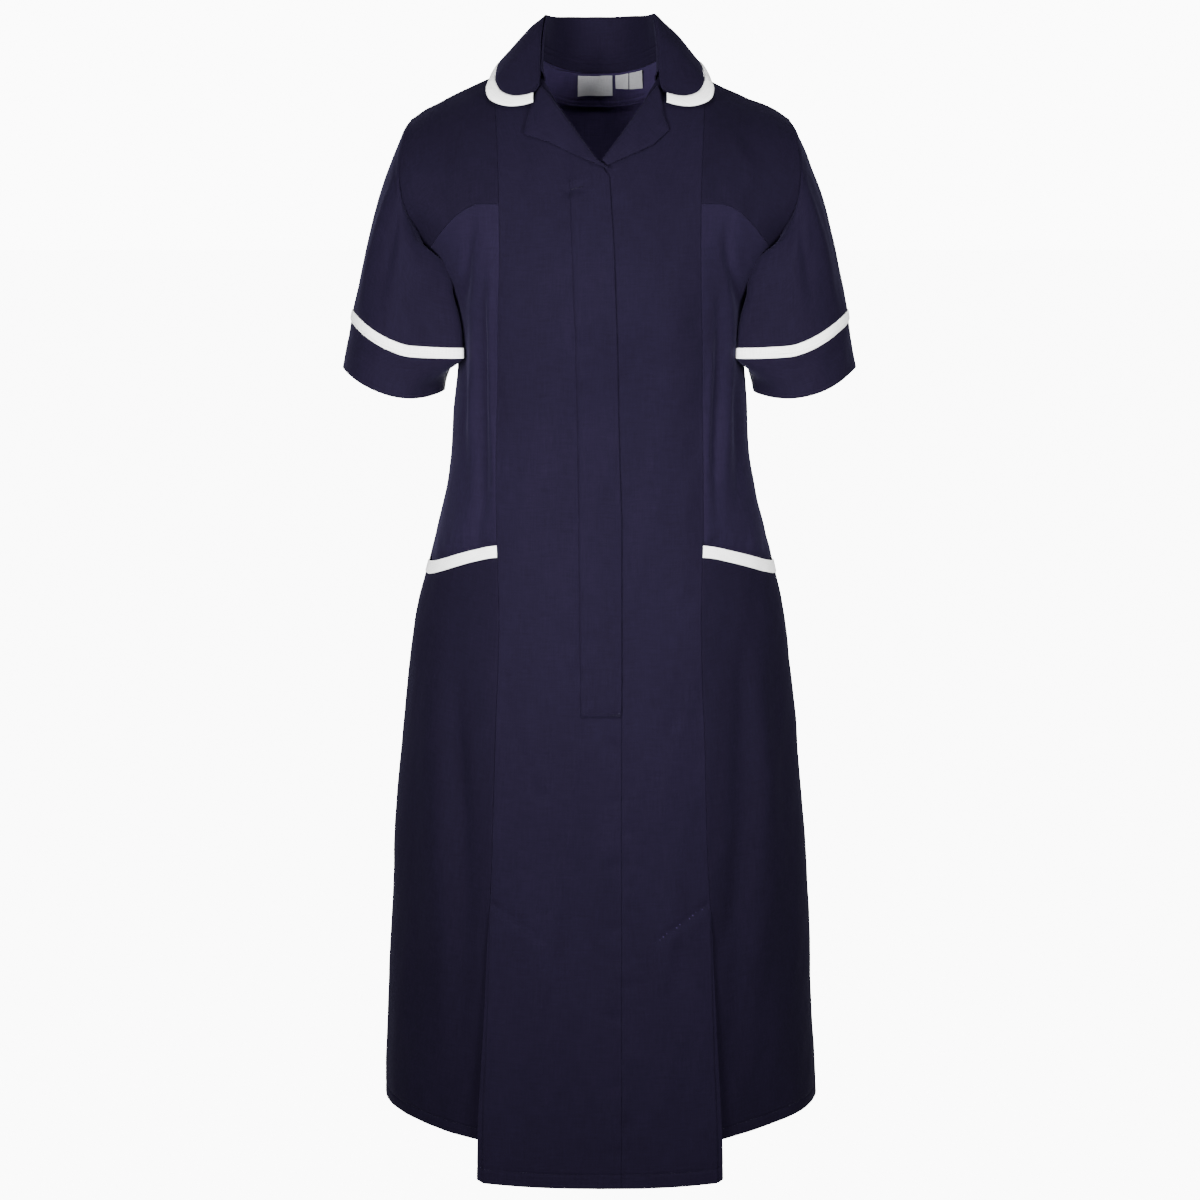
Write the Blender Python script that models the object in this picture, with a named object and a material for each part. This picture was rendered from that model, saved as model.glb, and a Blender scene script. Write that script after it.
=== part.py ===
"""Nurse uniform dress in its worn, filled-out shape, with no wearer.

Metres, +Z up, front facing -Y. The origin lies between the shoulder points, where the wearer's
shoulders hold the dress. "Right" and "left" are the wearer's, so the right side is at -X. Each
cloth piece is a thin wall inside a smooth skin that runs through rings given in short tables.
"""

import math
from collections import namedtuple

import bpy
from mathutils import Vector

# Driving sizes
WALL = 0.0018            # cloth with its turnings
THIN_WALL = 0.0012       # placket, trims, labels and facing
SEAM_GAP = 0.0003        # between neighbouring pieces
LAPEL_LIFT = 0.0012      # lapel above the front it lies on
POCKET_LIFT = 0.0022     # pocket mouth stands off the side front behind it
POCKET_DEPTH = 0.165     # pocket back below the mouth
PLACKET_END = -0.582     # lower end of the placket
PLEAT_TOP = -0.762       # where the kick pleats open
PLEAT_LIFT = 0.007       # centre panel stands forward of the side panel at the hem
PLEAT_TUCK = 0.003       # side panel falls back at the pleat
PLEAT_WIDTH = 0.022      # underlay on each side of the pleat's edge
TRIM_WIDTH = 0.0112      # white band on the pocket mouth

NAVY = (0.032, 0.025, 0.072)
WHITE = (0.90, 0.90, 0.90)
GREY = (0.30, 0.30, 0.31)

# Rings of the body from below the hem to the shoulder line. z_mid and z_side are the heights at the
# centre and at the side or armhole; front and back are the depths at the centre; front_side and
# back_side those at the armhole; sweep is the angle that the ring turns through from the centre;
# princess is the seam's distance from the centre, and neck the neckline's (past the centre, negative).
Ring = namedtuple(
    "Ring", "z_mid z_side half_width front front_side back back_side sweep princess neck")
BODY = [
    Ring(-1.040, -1.008, 0.2115, 0.1590, 0.000, 0.156, 0.000, 90, 0.1150, -0.05),
    Ring(-1.000, -0.968, 0.2110, 0.1570, 0.000, 0.154, 0.000, 90, 0.1143, -0.05),
    Ring(-0.940, -0.911, 0.2088, 0.1530, 0.000, 0.152, 0.000, 90, 0.1118, -0.05),
    Ring(-0.870, -0.845, 0.2060, 0.1490, 0.000, 0.150, 0.000, 90, 0.1086, -0.05),
    Ring(-0.800, -0.779, 0.2032, 0.1450, 0.000, 0.148, 0.000, 90, 0.1060, -0.05),
    Ring(-0.730, -0.714, 0.1998, 0.1410, 0.000, 0.146, 0.000, 90, 0.1022, -0.05),
    Ring(-0.660, -0.650, 0.1955, 0.1370, 0.000, 0.143, 0.000, 90, 0.1000, -0.05),
    Ring(-0.600, -0.596, 0.1905, 0.1330, 0.000, 0.140, 0.000, 90, 0.0984, -0.05),
    Ring(-0.545, -0.543, 0.1840, 0.1290, 0.000, 0.137, 0.000, 90, 0.0964, -0.05),
    Ring(-0.495, -0.494, 0.1772, 0.1250, 0.000, 0.133, 0.000, 90, 0.0955, -0.05),
    Ring(-0.450, -0.450, 0.1668, 0.1190, 0.000, 0.126, 0.000, 90, 0.0962, -0.05),
    Ring(-0.410, -0.410, 0.1567, 0.1120, 0.000, 0.116, 0.000, 90, 0.0978, -0.05),
    Ring(-0.375, -0.375, 0.1480, 0.1050, 0.000, 0.106, 0.000, 90, 0.0982, -0.05),
    Ring(-0.340, -0.340, 0.1428, 0.1000, 0.000, 0.098, 0.000, 90, 0.0980, -0.05),
    Ring(-0.300, -0.300, 0.1405, 0.0990, 0.000, 0.093, 0.000, 90, 0.0976, -0.05),
    Ring(-0.260, -0.260, 0.1375, 0.1070, 0.000, 0.094, 0.000, 90, 0.0968, -0.05),
    Ring(-0.220, -0.220, 0.1382, 0.1180, 0.000, 0.098, 0.000, 90, 0.0961, -0.05),
    Ring(-0.187, -0.187, 0.1465, 0.1220, 0.000, 0.101, 0.000, 90, 0.0956, -0.05),
    Ring(-0.162, -0.169, 0.1570, 0.1210, 0.022, 0.103, 0.020, 80, 0.0953, -0.05),
    Ring(-0.137, -0.151, 0.1622, 0.1160, 0.037, 0.104, 0.034, 72, 0.0952, -0.05),
    Ring(-0.108, -0.130, 0.1710, 0.1080, 0.050, 0.104, 0.046, 66, 0.0952, -0.05),
    Ring(-0.073, -0.105, 0.1840, 0.0960, 0.058, 0.100, 0.054, 62, 0.0955, -0.0071),
    Ring(-0.034, -0.076, 0.1890, 0.0790, 0.056, 0.090, 0.052, 60, 0.0968, 0.0182),
    Ring(0.006, -0.049, 0.1872, 0.0570, 0.043, 0.072, 0.041, 60, 0.0985, 0.0412),
    Ring(0.041, -0.030, 0.1842, 0.0310, 0.022, 0.042, 0.021, 60, 0.0998, 0.0568),
    Ring(0.066, -0.021, 0.1825, 0.0000, 0.000, 0.000, 0.000, 60, 0.1005, 0.0600),
]
HEM_ROW = 1.0
UNDERARM_ROW = 17.0
SHOULDER_ROW = float(len(BODY) - 1)
FULLNESS = 2.25          # 2 is an ellipse, more is squarer

# Leading edge of the right front: its height and its place across.
LEADING = [(-0.60, 0.0205), (-0.40, 0.0205), (-0.328, 0.0182), (-0.241, 0.0164), (-0.148, 0.0134),
           (-0.097, 0.0101), (-0.070, 0.0082)]
# Line of stitching along the placket.
STITCH_LINE = [(-0.60, -0.0180), (-0.436, -0.0196), (-0.328, -0.0209), (-0.219, -0.0230),
               (-0.101, -0.0277), (-0.070, -0.0285)]

# Rings of the sleeve below the armhole: middle, half width across and its tilt, half depth from
# front to back, and how far the front and back hang below the middle.
SleeveRing = namedtuple("SleeveRing", "x y z half_width tilt half_depth drop")
SLEEVE = [
    SleeveRing(0.1842, -0.002, -0.1515, 0.0515, 50, 0.070, 0.002),
    SleeveRing(0.1898, -0.003, -0.2205, 0.0503, 19.5, 0.065, 0.012),
    SleeveRing(0.1906, -0.003, -0.2310, 0.0503, 18.5, 0.0645, 0.0125),
    SleeveRing(0.1978, -0.004, -0.2710, 0.0498, 13.0, 0.062, 0.0125),
]
TRIM_TOP_RING, TRIM_LOW_RING, CUFF_RING = 2, 3, 4

# Stations of the collar from the middle of the back to the notch.
CollarStation = namedtuple(
    "CollarStation", "fold_x fold_y fold_z leaf_x leaf_y leaf_z trim_x trim_y trim_z")
COLLAR = [
    CollarStation(0.000, 0.058, 0.0740, 0.000, 0.083, 0.0270, 0.0000, 0.086, 0.0165),
    CollarStation(0.029, 0.051, 0.0745, 0.048, 0.077, 0.0280, 0.0510, 0.081, 0.0180),
    CollarStation(0.047, 0.030, 0.0755, 0.079, 0.050, 0.0310, 0.0845, 0.054, 0.0215),
    CollarStation(0.0535, 0.004, 0.0760, 0.0950, 0.012, 0.0325, 0.1000, 0.014, 0.0235),
    CollarStation(0.0565, -0.016, 0.0600, 0.0995, -0.020, 0.0185, 0.1065, -0.024, 0.0130),
    CollarStation(0.0575, -0.031, 0.0400, 0.0980, -0.033, 0.0110, 0.1080, -0.039, 0.0045),
    CollarStation(0.0578, -0.042, 0.0250, 0.0932, -0.042, 0.0042, 0.1035, -0.048, -0.0040),
    CollarStation(0.0583, -0.049, 0.0150, 0.0830, -0.049, 0.0004, 0.0900, -0.054, -0.0092),
    CollarStation(0.0597, -0.052, 0.0095, 0.0728, -0.053, 0.0006, 0.0752, -0.058, -0.0090),
    CollarStation(0.0615, -0.055, 0.0060, 0.0632, -0.056, 0.0030, 0.0632, -0.061, -0.0060),
]
STAND_END = 6            # the stand runs out where the collar meets the revere
SHOULDER_STATION = 3
NECK_HALF_WIDTH = 0.060
BACK_NECK = 0.0225       # height of the back neckline at the centre
FRONT_SEAM_STEP = 0.4    # rows of the body for each collar station in front of the shoulder

LAPEL_PUFF = 0.002       # the lapel's middle stands this far off

# The lapel from its top to the foot of the V: points on its roll line and on its outer edge.
LapelRow = namedtuple("LapelRow", "roll_x roll_z edge_x edge_z")
LAPEL = [
    LapelRow(0.0550, 0.0080, 0.0622, -0.0030),
    LapelRow(0.0478, 0.0020, 0.0669, -0.0181),
    LapelRow(0.0390, -0.0100, 0.0714, -0.0375),
    LapelRow(0.0300, -0.0225, 0.0479, -0.0444),
    LapelRow(0.0205, -0.0355, 0.0311, -0.0523),
    LapelRow(0.0110, -0.0485, 0.0150, -0.0604),
    LapelRow(0.0005, -0.0625, -0.0060, -0.0695),
]
FRONT, BACK = "front", "back"


def cubic(a, b, c, d, t):
    """Catmull-Rom value between b and c."""
    return b + 0.5 * t * (c - a + t * (2 * a - 5 * b + 4 * c - d + t * (3 * (b - c) + d - a)))


def row_value(name, row):
    """A column of BODY at a fractional row."""
    low = max(0, min(int(math.floor(row)), len(BODY) - 2))
    last = len(BODY) - 1
    around = [getattr(BODY[max(0, min(last, low + k))], name) for k in (-1, 0, 1, 2)]
    if name == "neck":
        return around[1] + (around[2] - around[1]) * (row - low)
    return cubic(*around, row - low)


def line_value(line, height):
    """Place across on a line of (height, place) points."""
    for (z0, x0), (z1, x1) in zip(line, line[1:]):
        if height <= z1:
            return x0 + (x1 - x0) * max(0.0, (height - z0) / (z1 - z0))
    return line[-1][1]


def section_x(sweep, angle):
    share = abs(math.sin(angle)) / math.sin(sweep)
    return math.copysign(share ** (2 / FULLNESS), angle)


def skin(face, angle, row):
    """Point of the outer skin; angle is signed, from the centre towards the side."""
    sweep = math.radians(min(90.0, row_value("sweep", row)))
    half_width = row_value("half_width", row)
    mid = row_value(face, row)
    side = row_value(face + "_side", row)
    across = section_x(sweep, angle)
    foot = math.cos(sweep) ** (2 / FULLNESS) if sweep < math.radians(89.999) else 0.0
    crown = max(0.0, math.cos(angle)) ** (2 / FULLNESS)
    depth = side + (mid - side) * (crown - foot) / (1 - foot)
    bend = 1.0 + 0.5 * (math.degrees(sweep) - 60) / 30
    z_mid = row_value("z_mid", row)
    z = z_mid + (row_value("z_side", row) - z_mid) * abs(across) ** bend
    return Vector((half_width * across, -depth if face == FRONT else depth, z))


def edge_angle(row):
    return math.radians(min(90.0, row_value("sweep", row)))


def angle_at(x, row):
    """Angle whose point lies x across on this row."""
    sweep = edge_angle(row)
    share = min(1.0, abs(x) / row_value("half_width", row))
    return math.copysign(math.asin(min(1.0, share ** (FULLNESS / 2) * math.sin(sweep))), x)


def skin_normal(face, angle, row):
    step = 1e-3
    limit = edge_angle(row)
    here = max(-limit + step, min(limit - step, angle))
    around = skin(face, here + step, row) - skin(face, here - step, row)
    high = min(SHOULDER_ROW, row + step)
    up = skin(face, here, high) - skin(face, here, high - 2 * step)
    normal = around.cross(up) if face == FRONT else up.cross(around)
    if limit > math.radians(89.9) and abs(angle) > limit - 2 * step:
        normal.y = 0.0
    if row > SHOULDER_ROW - 2 * step:
        normal.y = 0.0
    return normal.normalized()


def row_where(height_of, angle_of, face, low, high):
    """Row at which the skin crosses a curve of heights given by place across."""
    for _ in range(40):
        middle = (low + high) / 2
        point = skin(face, angle_of(middle), middle)
        if point.z < height_of(abs(point.x)):
            low = middle
        else:
            high = middle
    return (low + high) / 2


def row_at(face, x, z, low=0.0, high=SHOULDER_ROW):
    return row_where(lambda _: z, lambda row: angle_at(x, row), face, low, high)


# Lines across the body, each giving a place across for a row.
def princess_x(row):
    return row_value("princess", row)


def front_height(x, row):
    return skin(FRONT, angle_at(x, row), row).z


def leading_x(row):
    """Edge of the right front: the leading edge, then the neckline above the foot of the V."""
    return min(-row_value("neck", row), line_value(LEADING, front_height(0.01, row)))


def left_edge_x(row):
    return max(row_value("neck", row), leading_x(row))


def stitch_x(row):
    return min(line_value(STITCH_LINE, front_height(0.02, row)), leading_x(row) - 0.010)


def between(one, other, share):
    return lambda row: one(row) + (other(row) - one(row)) * share


def moved(line, amount):
    return lambda row: line(row) + amount


def as_angle(line):
    return lambda row: angle_at(line(row), row)


def angle_between(one, other, share):
    return lambda row: one(row) + (other(row) - one(row)) * share


def ramp(value, start, end):
    share = min(1.0, max(0.0, (value - start) / (end - start)))
    return share * share * (3 - 2 * share)


# Curves across the body, each giving a height for a place across.
def bust_seam_height(x):
    """Level from the princess seam, then falling to the armhole."""
    fall = min(1.0, max(0.0, (x - 0.112) / 0.0495))
    return -0.1005 - 0.0445 * fall ** 1.8


def pocket_mouth_height(x):
    return -0.4225 - 0.023 * min(1.0, max(0.0, (x - 0.096) / 0.070)) ** 1.4


def pocket_seam_height(x):
    return pocket_mouth_height(x) - TRIM_WIDTH


def back_neck_height(x):
    return BACK_NECK + 0.0149 * min(1.0, x / NECK_HALF_WIDTH) ** 2.5


def facing_height(x):
    return -0.0106 + 0.016 * (x / NECK_HALF_WIDTH) ** 3


def centre_hem_row(x):
    return HEM_ROW - 0.625 - 0.30 * (abs(x) / 0.114) ** 1.5


def steps(low, high, count):
    return [low + (high - low) * k / count for k in range(count + 1)]


BODY_ROWS = steps(1, 17, 16) + steps(17, SHOULDER_ROW, 16)[1:]


def rows_between(low, high):
    """The body's rows between two fractional rows, with both ends."""
    margin = 0.12
    return [low] + [row for row in BODY_ROWS if low + margin < row < high - margin] + [high]


def pleat_push(x, row, forward):
    """How far the pleat's edge stands forward, or its underside falls back."""
    opening = ramp(-skin(FRONT, angle_at(x, row), row).z, -PLEAT_TOP, 1.0)
    near = max(0.0, 1.0 - abs(abs(x) - princess_x(row)) / 0.085)
    return opening * near ** 2 * (PLEAT_LIFT if forward else -PLEAT_TUCK)


def cloth_grid(face, lines, lift):
    """Columns of (point, normal) for lines of (angle of row, rows); lift moves a point out."""
    half_gap = SEAM_GAP / 2
    columns = []
    for angle_of, rows in lines:
        column = []
        for row in rows:
            angle = angle_of(row)
            normal = skin_normal(face, angle, row)
            point = skin(face, angle, row)
            amount = lift(point, row) if callable(lift) else lift
            point = point + normal * amount
            if face == FRONT:
                point.y = min(point.y, -half_gap)
            else:
                point.y = max(point.y, half_gap)
            column.append((point, normal))
        columns.append(column)
    return columns


def material(name, colour, roughness):
    made = bpy.data.materials.new(name)
    made.use_nodes = True
    shader = made.node_tree.nodes["Principled BSDF"]
    shader.inputs["Base Color"].default_value = (*colour, 1.0)
    shader.inputs["Roughness"].default_value = roughness
    shader.inputs["Metallic"].default_value = 0.0
    return made


def add_wall(name, columns, thickness, colour, mirror=False, ring=False):
    """One closed wall: the given skin, a second one under it, and the edges between them."""
    side = -1.0 if mirror else 1.0
    count, height = len(columns), len(columns[0])
    points = []
    for depth in (0.0, thickness):
        for column in columns:
            for point, normal in column:
                place = point - normal * depth
                points.append((place.x * side, place.y, place.z))

    def index(layer, i, j):
        return layer * count * height + (i % count) * height + j

    spans = count if ring else count - 1
    faces = []
    for i in range(spans):
        for j in range(height - 1):
            outer = [index(0, i, j), index(0, i + 1, j), index(0, i + 1, j + 1), index(0, i, j + 1)]
            inner = [index(1, i, j), index(1, i, j + 1), index(1, i + 1, j + 1), index(1, i + 1, j)]
            faces += [outer, inner]
        for j in (0, height - 1):
            edge = [index(0, i, j), index(1, i, j), index(1, i + 1, j), index(0, i + 1, j)]
            faces.append(edge if j == 0 else edge[::-1])
    if not ring:
        for j in range(height - 1):
            for i in (0, count - 1):
                edge = [index(0, i, j), index(0, i, j + 1), index(1, i, j + 1), index(1, i, j)]
                faces.append(edge if i == 0 else edge[::-1])
    mesh = bpy.data.meshes.new(name)
    mesh.from_pydata(points, [], faces)
    mesh.materials.append(colour)
    volume = sum(
        Vector(points[f[0]]).dot(Vector(points[f[1]]).cross(Vector(points[f[2]])))
        + Vector(points[f[0]]).dot(Vector(points[f[2]]).cross(Vector(points[f[3]]))) for f in faces)
    if volume < 0:
        mesh.flip_normals()
    mesh.shade_smooth()
    mesh.set_sharp_from_angle(angle=math.radians(40))
    made = bpy.data.objects.new(name, mesh)
    bpy.context.scene.collection.objects.link(made)
    return made


def add_pair(name, columns, thickness, colour, ring=False):
    """The left piece as given, at +X, and the right one mirrored."""
    add_wall(name + "_left", columns, thickness, colour, ring=ring)
    add_wall(name + "_right", columns, thickness, colour, mirror=True, ring=ring)


def clear_scene():
    for obj in list(bpy.data.objects):
        bpy.data.objects.remove(obj)


V_FOOT_ROW = 20.96       # the leading edge meets the neckline
V_CENTRE_ROW = 21.281    # the neckline crosses the centre
HALF_GAP = SEAM_GAP / 2


def centre_lift(point, row):
    return pleat_push(point.x, row, True)


def centre_rows(x):
    """Rows of a centre front's line, from its own lower hem, with the V's corners."""
    corners = [V_FOOT_ROW, V_CENTRE_ROW]
    kept = [row for row in BODY_ROWS if all(abs(row - corner) > 0.15 for corner in corners)]
    return [centre_hem_row(x)] + sorted(kept + corners)


def front_panels(navy):
    """Both centre fronts; the right one runs past the centre to the leading edge."""
    inner = moved(lambda row: -princess_x(row), HALF_GAP)
    right_lines = [
        (inner, 0.114), (between(inner, stitch_x, 0.36), 0.08), (between(inner, stitch_x, 0.70), 0.045),
        (stitch_x, 0.018), (between(stitch_x, leading_x, 0.5), 0.0),
        (moved(leading_x, -HALF_GAP), 0.02)]
    outer = moved(princess_x, -HALF_GAP)
    edge = moved(left_edge_x, HALF_GAP)
    left_lines = [(edge, 0.02)]
    left_lines += [(between(edge, outer, share), 0.02 + 0.094 * share) for share in (0.3, 0.65)]
    left_lines += [(outer, 0.114)]
    for name, lines in (("front_right", right_lines), ("front_left", left_lines)):
        grid = cloth_grid(FRONT, [(as_angle(line), centre_rows(x)) for line, x in lines], centre_lift)
        add_wall(name, grid, WALL, navy)


def placket_pieces(navy):
    """The placket strip on the right front, and the left front's button stand under it."""
    low = row_at(FRONT, 0.0, PLACKET_END)
    rows = rows_between(low, V_FOOT_ROW)
    on_top = [stitch_x, between(stitch_x, leading_x, 0.5), moved(leading_x, -HALF_GAP)]
    grid = cloth_grid(FRONT, [(as_angle(line), rows) for line in on_top], SEAM_GAP + THIN_WALL)
    add_wall("placket", grid, THIN_WALL, navy)
    under = [stitch_x, between(stitch_x, leading_x, 0.5), leading_x, moved(leading_x, 0.012)]
    grid = cloth_grid(FRONT, [(as_angle(line), rows) for line in under], -WALL - 0.0012)
    add_wall("underlap", grid, WALL, navy)


def shoulder_fronts(navy):
    """Above the curved bust seam."""
    first = as_angle(moved(princess_x, HALF_GAP))

    def height(x):
        return bust_seam_height(x) + HALF_GAP

    lines = []
    for share in (0, 0.25, 0.5, 0.75, 1):
        angle_of = angle_between(first, edge_angle, share)
        low = row_where(height, angle_of, FRONT, UNDERARM_ROW, SHOULDER_ROW)
        lines.append((angle_of, steps(low, SHOULDER_ROW, 10)))
    add_pair("shoulder_front", cloth_grid(FRONT, lines, 0.0), WALL, navy)


def behind_pocket(point, row):
    """The side front drops behind the pocket mouth and stays there."""
    below = pocket_mouth_height(abs(point.x)) + 0.030 - point.z
    return -(WALL + POCKET_LIFT) * ramp(below, 0.0, 0.028)


def side_fronts(navy):
    """From the bust seam and the armhole down behind the pocket mouth."""
    first = as_angle(moved(princess_x, HALF_GAP))

    def height(x):
        return bust_seam_height(x) - HALF_GAP

    lines = []
    for share in (0, 0.25, 0.5, 0.75, 1):
        angle_of = angle_between(first, edge_angle, share)
        bottom = row_where(lambda x: pocket_mouth_height(x) - POCKET_DEPTH, angle_of, FRONT, 2, 12)
        top = row_where(height, angle_of, FRONT, 15, SHOULDER_ROW)
        lines.append((angle_of, [bottom] + steps(8, 17, 9) + steps(17, top, 3)[1:]))
    add_pair("side_front", cloth_grid(FRONT, lines, behind_pocket), WALL, navy)


def tucked_lift(point, row):
    return pleat_push(point.x, row, False)


def side_skirts(navy, white):
    """The lower side fronts with the white band on their pocket mouths."""
    first = as_angle(moved(princess_x, HALF_GAP))
    lines, trim_lines = [], []
    for share in (0, 0.25, 0.5, 0.75, 1):
        angle_of = angle_between(first, edge_angle, share)
        seam = row_where(pocket_seam_height, angle_of, FRONT, 7, 13)
        mouth = row_where(pocket_mouth_height, angle_of, FRONT, 7, 13)
        lines.append((angle_of, steps(HEM_ROW, 9, 8) + [seam, mouth]))
        trim_lines.append((angle_of, [seam, mouth]))
    add_pair("side_skirt", cloth_grid(FRONT, lines, tucked_lift), WALL, navy)
    add_pair("pocket_trim", cloth_grid(FRONT, trim_lines, SEAM_GAP + THIN_WALL), THIN_WALL, white)


def pleat_underlays(navy):
    """The kick pleats' underlays, behind the centre front and the side skirt."""
    top = row_at(FRONT, princess_x(5), PLEAT_TOP)
    depth = WALL + PLEAT_TUCK + 0.0012
    lines = [(as_angle(moved(princess_x, shift)), steps(HEM_ROW - 0.1, top, 5))
             for shift in (-PLEAT_WIDTH, 0.0, PLEAT_WIDTH)]
    add_pair("pleat", cloth_grid(FRONT, lines, -depth), WALL, navy)


def back_panels(navy):
    """The back between its princess seams, and the side backs."""
    shares = (-1, -0.597, -0.517, -0.2985, 0, 0.2985, 0.517, 0.597, 1)
    lines = []
    for share in shares:
        inset = HALF_GAP * (abs(share) == 1)
        angle_of = as_angle(lambda row, share=share, inset=inset: share * (princess_x(row) - inset))
        top = SHOULDER_ROW
        if abs(share) < 0.59:
            top = row_where(back_neck_height, angle_of, BACK, 20, SHOULDER_ROW)
        rows = [row for row in BODY_ROWS if row < 22.9]
        lines.append((angle_of, rows + steps(23, top, 4)))
    add_wall("back", cloth_grid(BACK, lines, 0.0), WALL, navy)
    first = as_angle(moved(princess_x, HALF_GAP))
    side_lines = [(angle_between(first, edge_angle, share), BODY_ROWS)
                  for share in (0, 0.25, 0.5, 0.75, 1)]
    add_pair("side_back", cloth_grid(BACK, side_lines, 0.0), WALL, navy)


def neck_pieces(navy, grey):
    """The half-moon facing inside the back neck, and the bare labels that hang on it."""
    lines = []
    for share in (-0.597, -0.517, -0.2985, 0, 0.2985, 0.517, 0.597):
        angle_of = as_angle(lambda row, share=share: share * princess_x(row))
        low = row_where(facing_height, angle_of, BACK, 20, SHOULDER_ROW)
        top = row_where(lambda x: back_neck_height(x) - SEAM_GAP, angle_of, BACK, 20, SHOULDER_ROW)
        lines.append((angle_of, steps(low, top, 4)))
    facing_depth = WALL + 0.0018
    add_wall("neck_facing", cloth_grid(BACK, lines, -facing_depth), THIN_WALL, navy)
    label_depth = facing_depth + THIN_WALL + 0.0030
    for name, left, right, length, colour in (
            ("neck_label", -0.0245, 0.0145, 0.0205, grey),
            ("size_tab", 0.0163, 0.0288, 0.0135, grey),
            ("length_tab", 0.0298, 0.0423, 0.0135, grey)):
        lines = []
        for share in (0, 0.5, 1):
            angle_of = as_angle(lambda row, x=left + (right - left) * share: x)
            top = row_where(lambda x: back_neck_height(x) - 0.001, angle_of, BACK, 20, SHOULDER_ROW)
            end = BACK_NECK - length
            low = row_where(lambda x, end=end: end, angle_of, BACK, 20, SHOULDER_ROW)
            lines.append((angle_of, steps(low, top, 2)))
        add_wall(name, cloth_grid(BACK, lines, -label_depth), THIN_WALL, colour)


def lapel_value(name, share):
    place = share * (len(LAPEL) - 1)
    low = min(int(place), len(LAPEL) - 2)
    one, other = getattr(LAPEL[low], name), getattr(LAPEL[low + 1], name)
    return one + (other - one) * (place - low)


def lapels(navy):
    """The revers, turned back along the roll line and lying on the fronts."""
    for name, side, end in (("lapel_right", -1, 0.98), ("lapel_left", 1, 0.86)):
        columns = []
        for share in (0, 0.33, 0.67, 1):
            column = []
            for down in steps(0.0, end, 11):
                x = lapel_value("roll_x", down) * (1 - share) + lapel_value("edge_x", down) * share
                z = lapel_value("roll_z", down) * (1 - share) + lapel_value("edge_z", down) * share
                row = row_at(FRONT, x, z, 16)
                angle = angle_at(x, row)
                normal = skin_normal(FRONT, angle, row)
                puff = LAPEL_PUFF * math.sin(math.pi * share)
                point = skin(FRONT, angle, row) + normal * (LAPEL_LIFT + WALL + puff)
                point.x *= side
                normal.x *= side
                column.append((point, normal))
            columns.append(column)
        add_wall(name, columns, WALL, navy)


# Sleeves
SLEEVE_GAP = 0.0006      # the walls lean towards each other over the shoulder
SLEEVE_CLEAR = 0.0012    # the underside hangs beside the body
SEAM_RINGS = 0.004       # half a seam gap, in rings
SLANT_RINGS = 0.015      # the same above the trim, where the rings lie close together


def armhole_loop():
    """Edges of the left armhole: from the shoulder down the front, and up the back."""
    first = as_angle(moved(princess_x, HALF_GAP))
    seam_row = row_where(bust_seam_height, angle_between(first, edge_angle, 1), FRONT, 15, SHOULDER_ROW)
    front = steps(SHOULDER_ROW, seam_row, 10) + steps(seam_row, UNDERARM_ROW, 3)[1:]
    back = [row for row in BODY_ROWS if UNDERARM_ROW < row < SHOULDER_ROW]
    return [(FRONT, row) for row in front] + [(BACK, row) for row in back]


def sleeve_ring(ring, turn):
    """Point on a sleeve ring; turn runs from the outside over the front to the inside."""
    tilt = math.radians(ring.tilt)
    out = math.cos(turn) * ring.half_width
    down = ring.drop * math.sin(turn) ** 2
    return Vector((ring.x + out * math.cos(tilt), ring.y - ring.half_depth * math.sin(turn),
                   ring.z + out * math.sin(tilt) - down))


def loop_turns(points):
    """Turn for each point of the armhole, by its share of the way round."""
    total, sums = 0.0, [0.0]
    for one, other in zip(points, points[1:] + points[:1]):
        total += (other - one).length
        sums.append(total)
    return [2 * math.pi * part / total for part in sums[:-1]]


def sleeve_columns():
    """For each point round the armhole, its line down the sleeve at fractional rings."""
    loop = armhole_loop()
    edges = [skin(face, edge_angle(row), row) for face, row in loop]
    normals = [skin_normal(face, edge_angle(row), row) for face, row in loop]
    count = len(edges)
    turns = loop_turns(edges)
    starts = []
    for k in range(count):
        along = (edges[(k + 1) % count] - edges[k - 1]).normalized()
        out = normals[k].cross(along).normalized()
        beside = SLEEVE_CLEAR * ramp(-edges[k].z, 0.10, 0.16)
        starts.append(edges[k] + out * SLEEVE_GAP + normals[k] * beside)

    def place(k, ring):
        stations = [2 * starts[k] - sleeve_ring(SLEEVE[0], turns[k]), starts[k]]
        stations += [sleeve_ring(station, turns[k]) for station in SLEEVE]
        stations.append(2 * stations[-1] - stations[-2])
        low = min(int(ring), len(SLEEVE) - 1)
        around = zip(*stations[low:low + 4])
        return Vector([cubic(*values, ring - low) for values in around])

    def normal_of(k, ring):
        around = place((k + 1) % count, ring) - place(k - 1, ring)
        low, high = max(0.0, ring - 0.02), min(4.0, ring + 0.02)
        normal = around.cross(place(k, high) - place(k, low)).normalized()
        middle = Vector((SLEEVE[1].x, 0.0, 0.0))
        outward = place(k, ring) - middle
        outward.z = 0.0
        if ring > 1.5 and normal.dot(outward) < 0:
            normal = -normal
        if ring == 0.0:
            normal = (normal + normals[k] * 3 * max(0.0, normal.dot(normals[k]))).normalized()
        return normal

    return count, place, normal_of


def sleeves(navy, white):
    count, place, normal_of = sleeve_columns()
    spans = (("sleeve", 0.0, TRIM_TOP_RING - SEAM_RINGS, 4, navy),
             ("sleeve_trim", TRIM_TOP_RING + SLANT_RINGS, TRIM_LOW_RING - SEAM_RINGS, 1, white),
             ("cuff", TRIM_LOW_RING + SEAM_RINGS, CUFF_RING, 2, navy))
    for name, low, high, parts, colour in spans:
        rings = steps(low, high, parts)
        columns = [[(place(k, ring), normal_of(k, ring)) for ring in rings] for k in range(count)]
        add_pair(name, columns, WALL, colour, ring=True)


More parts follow.
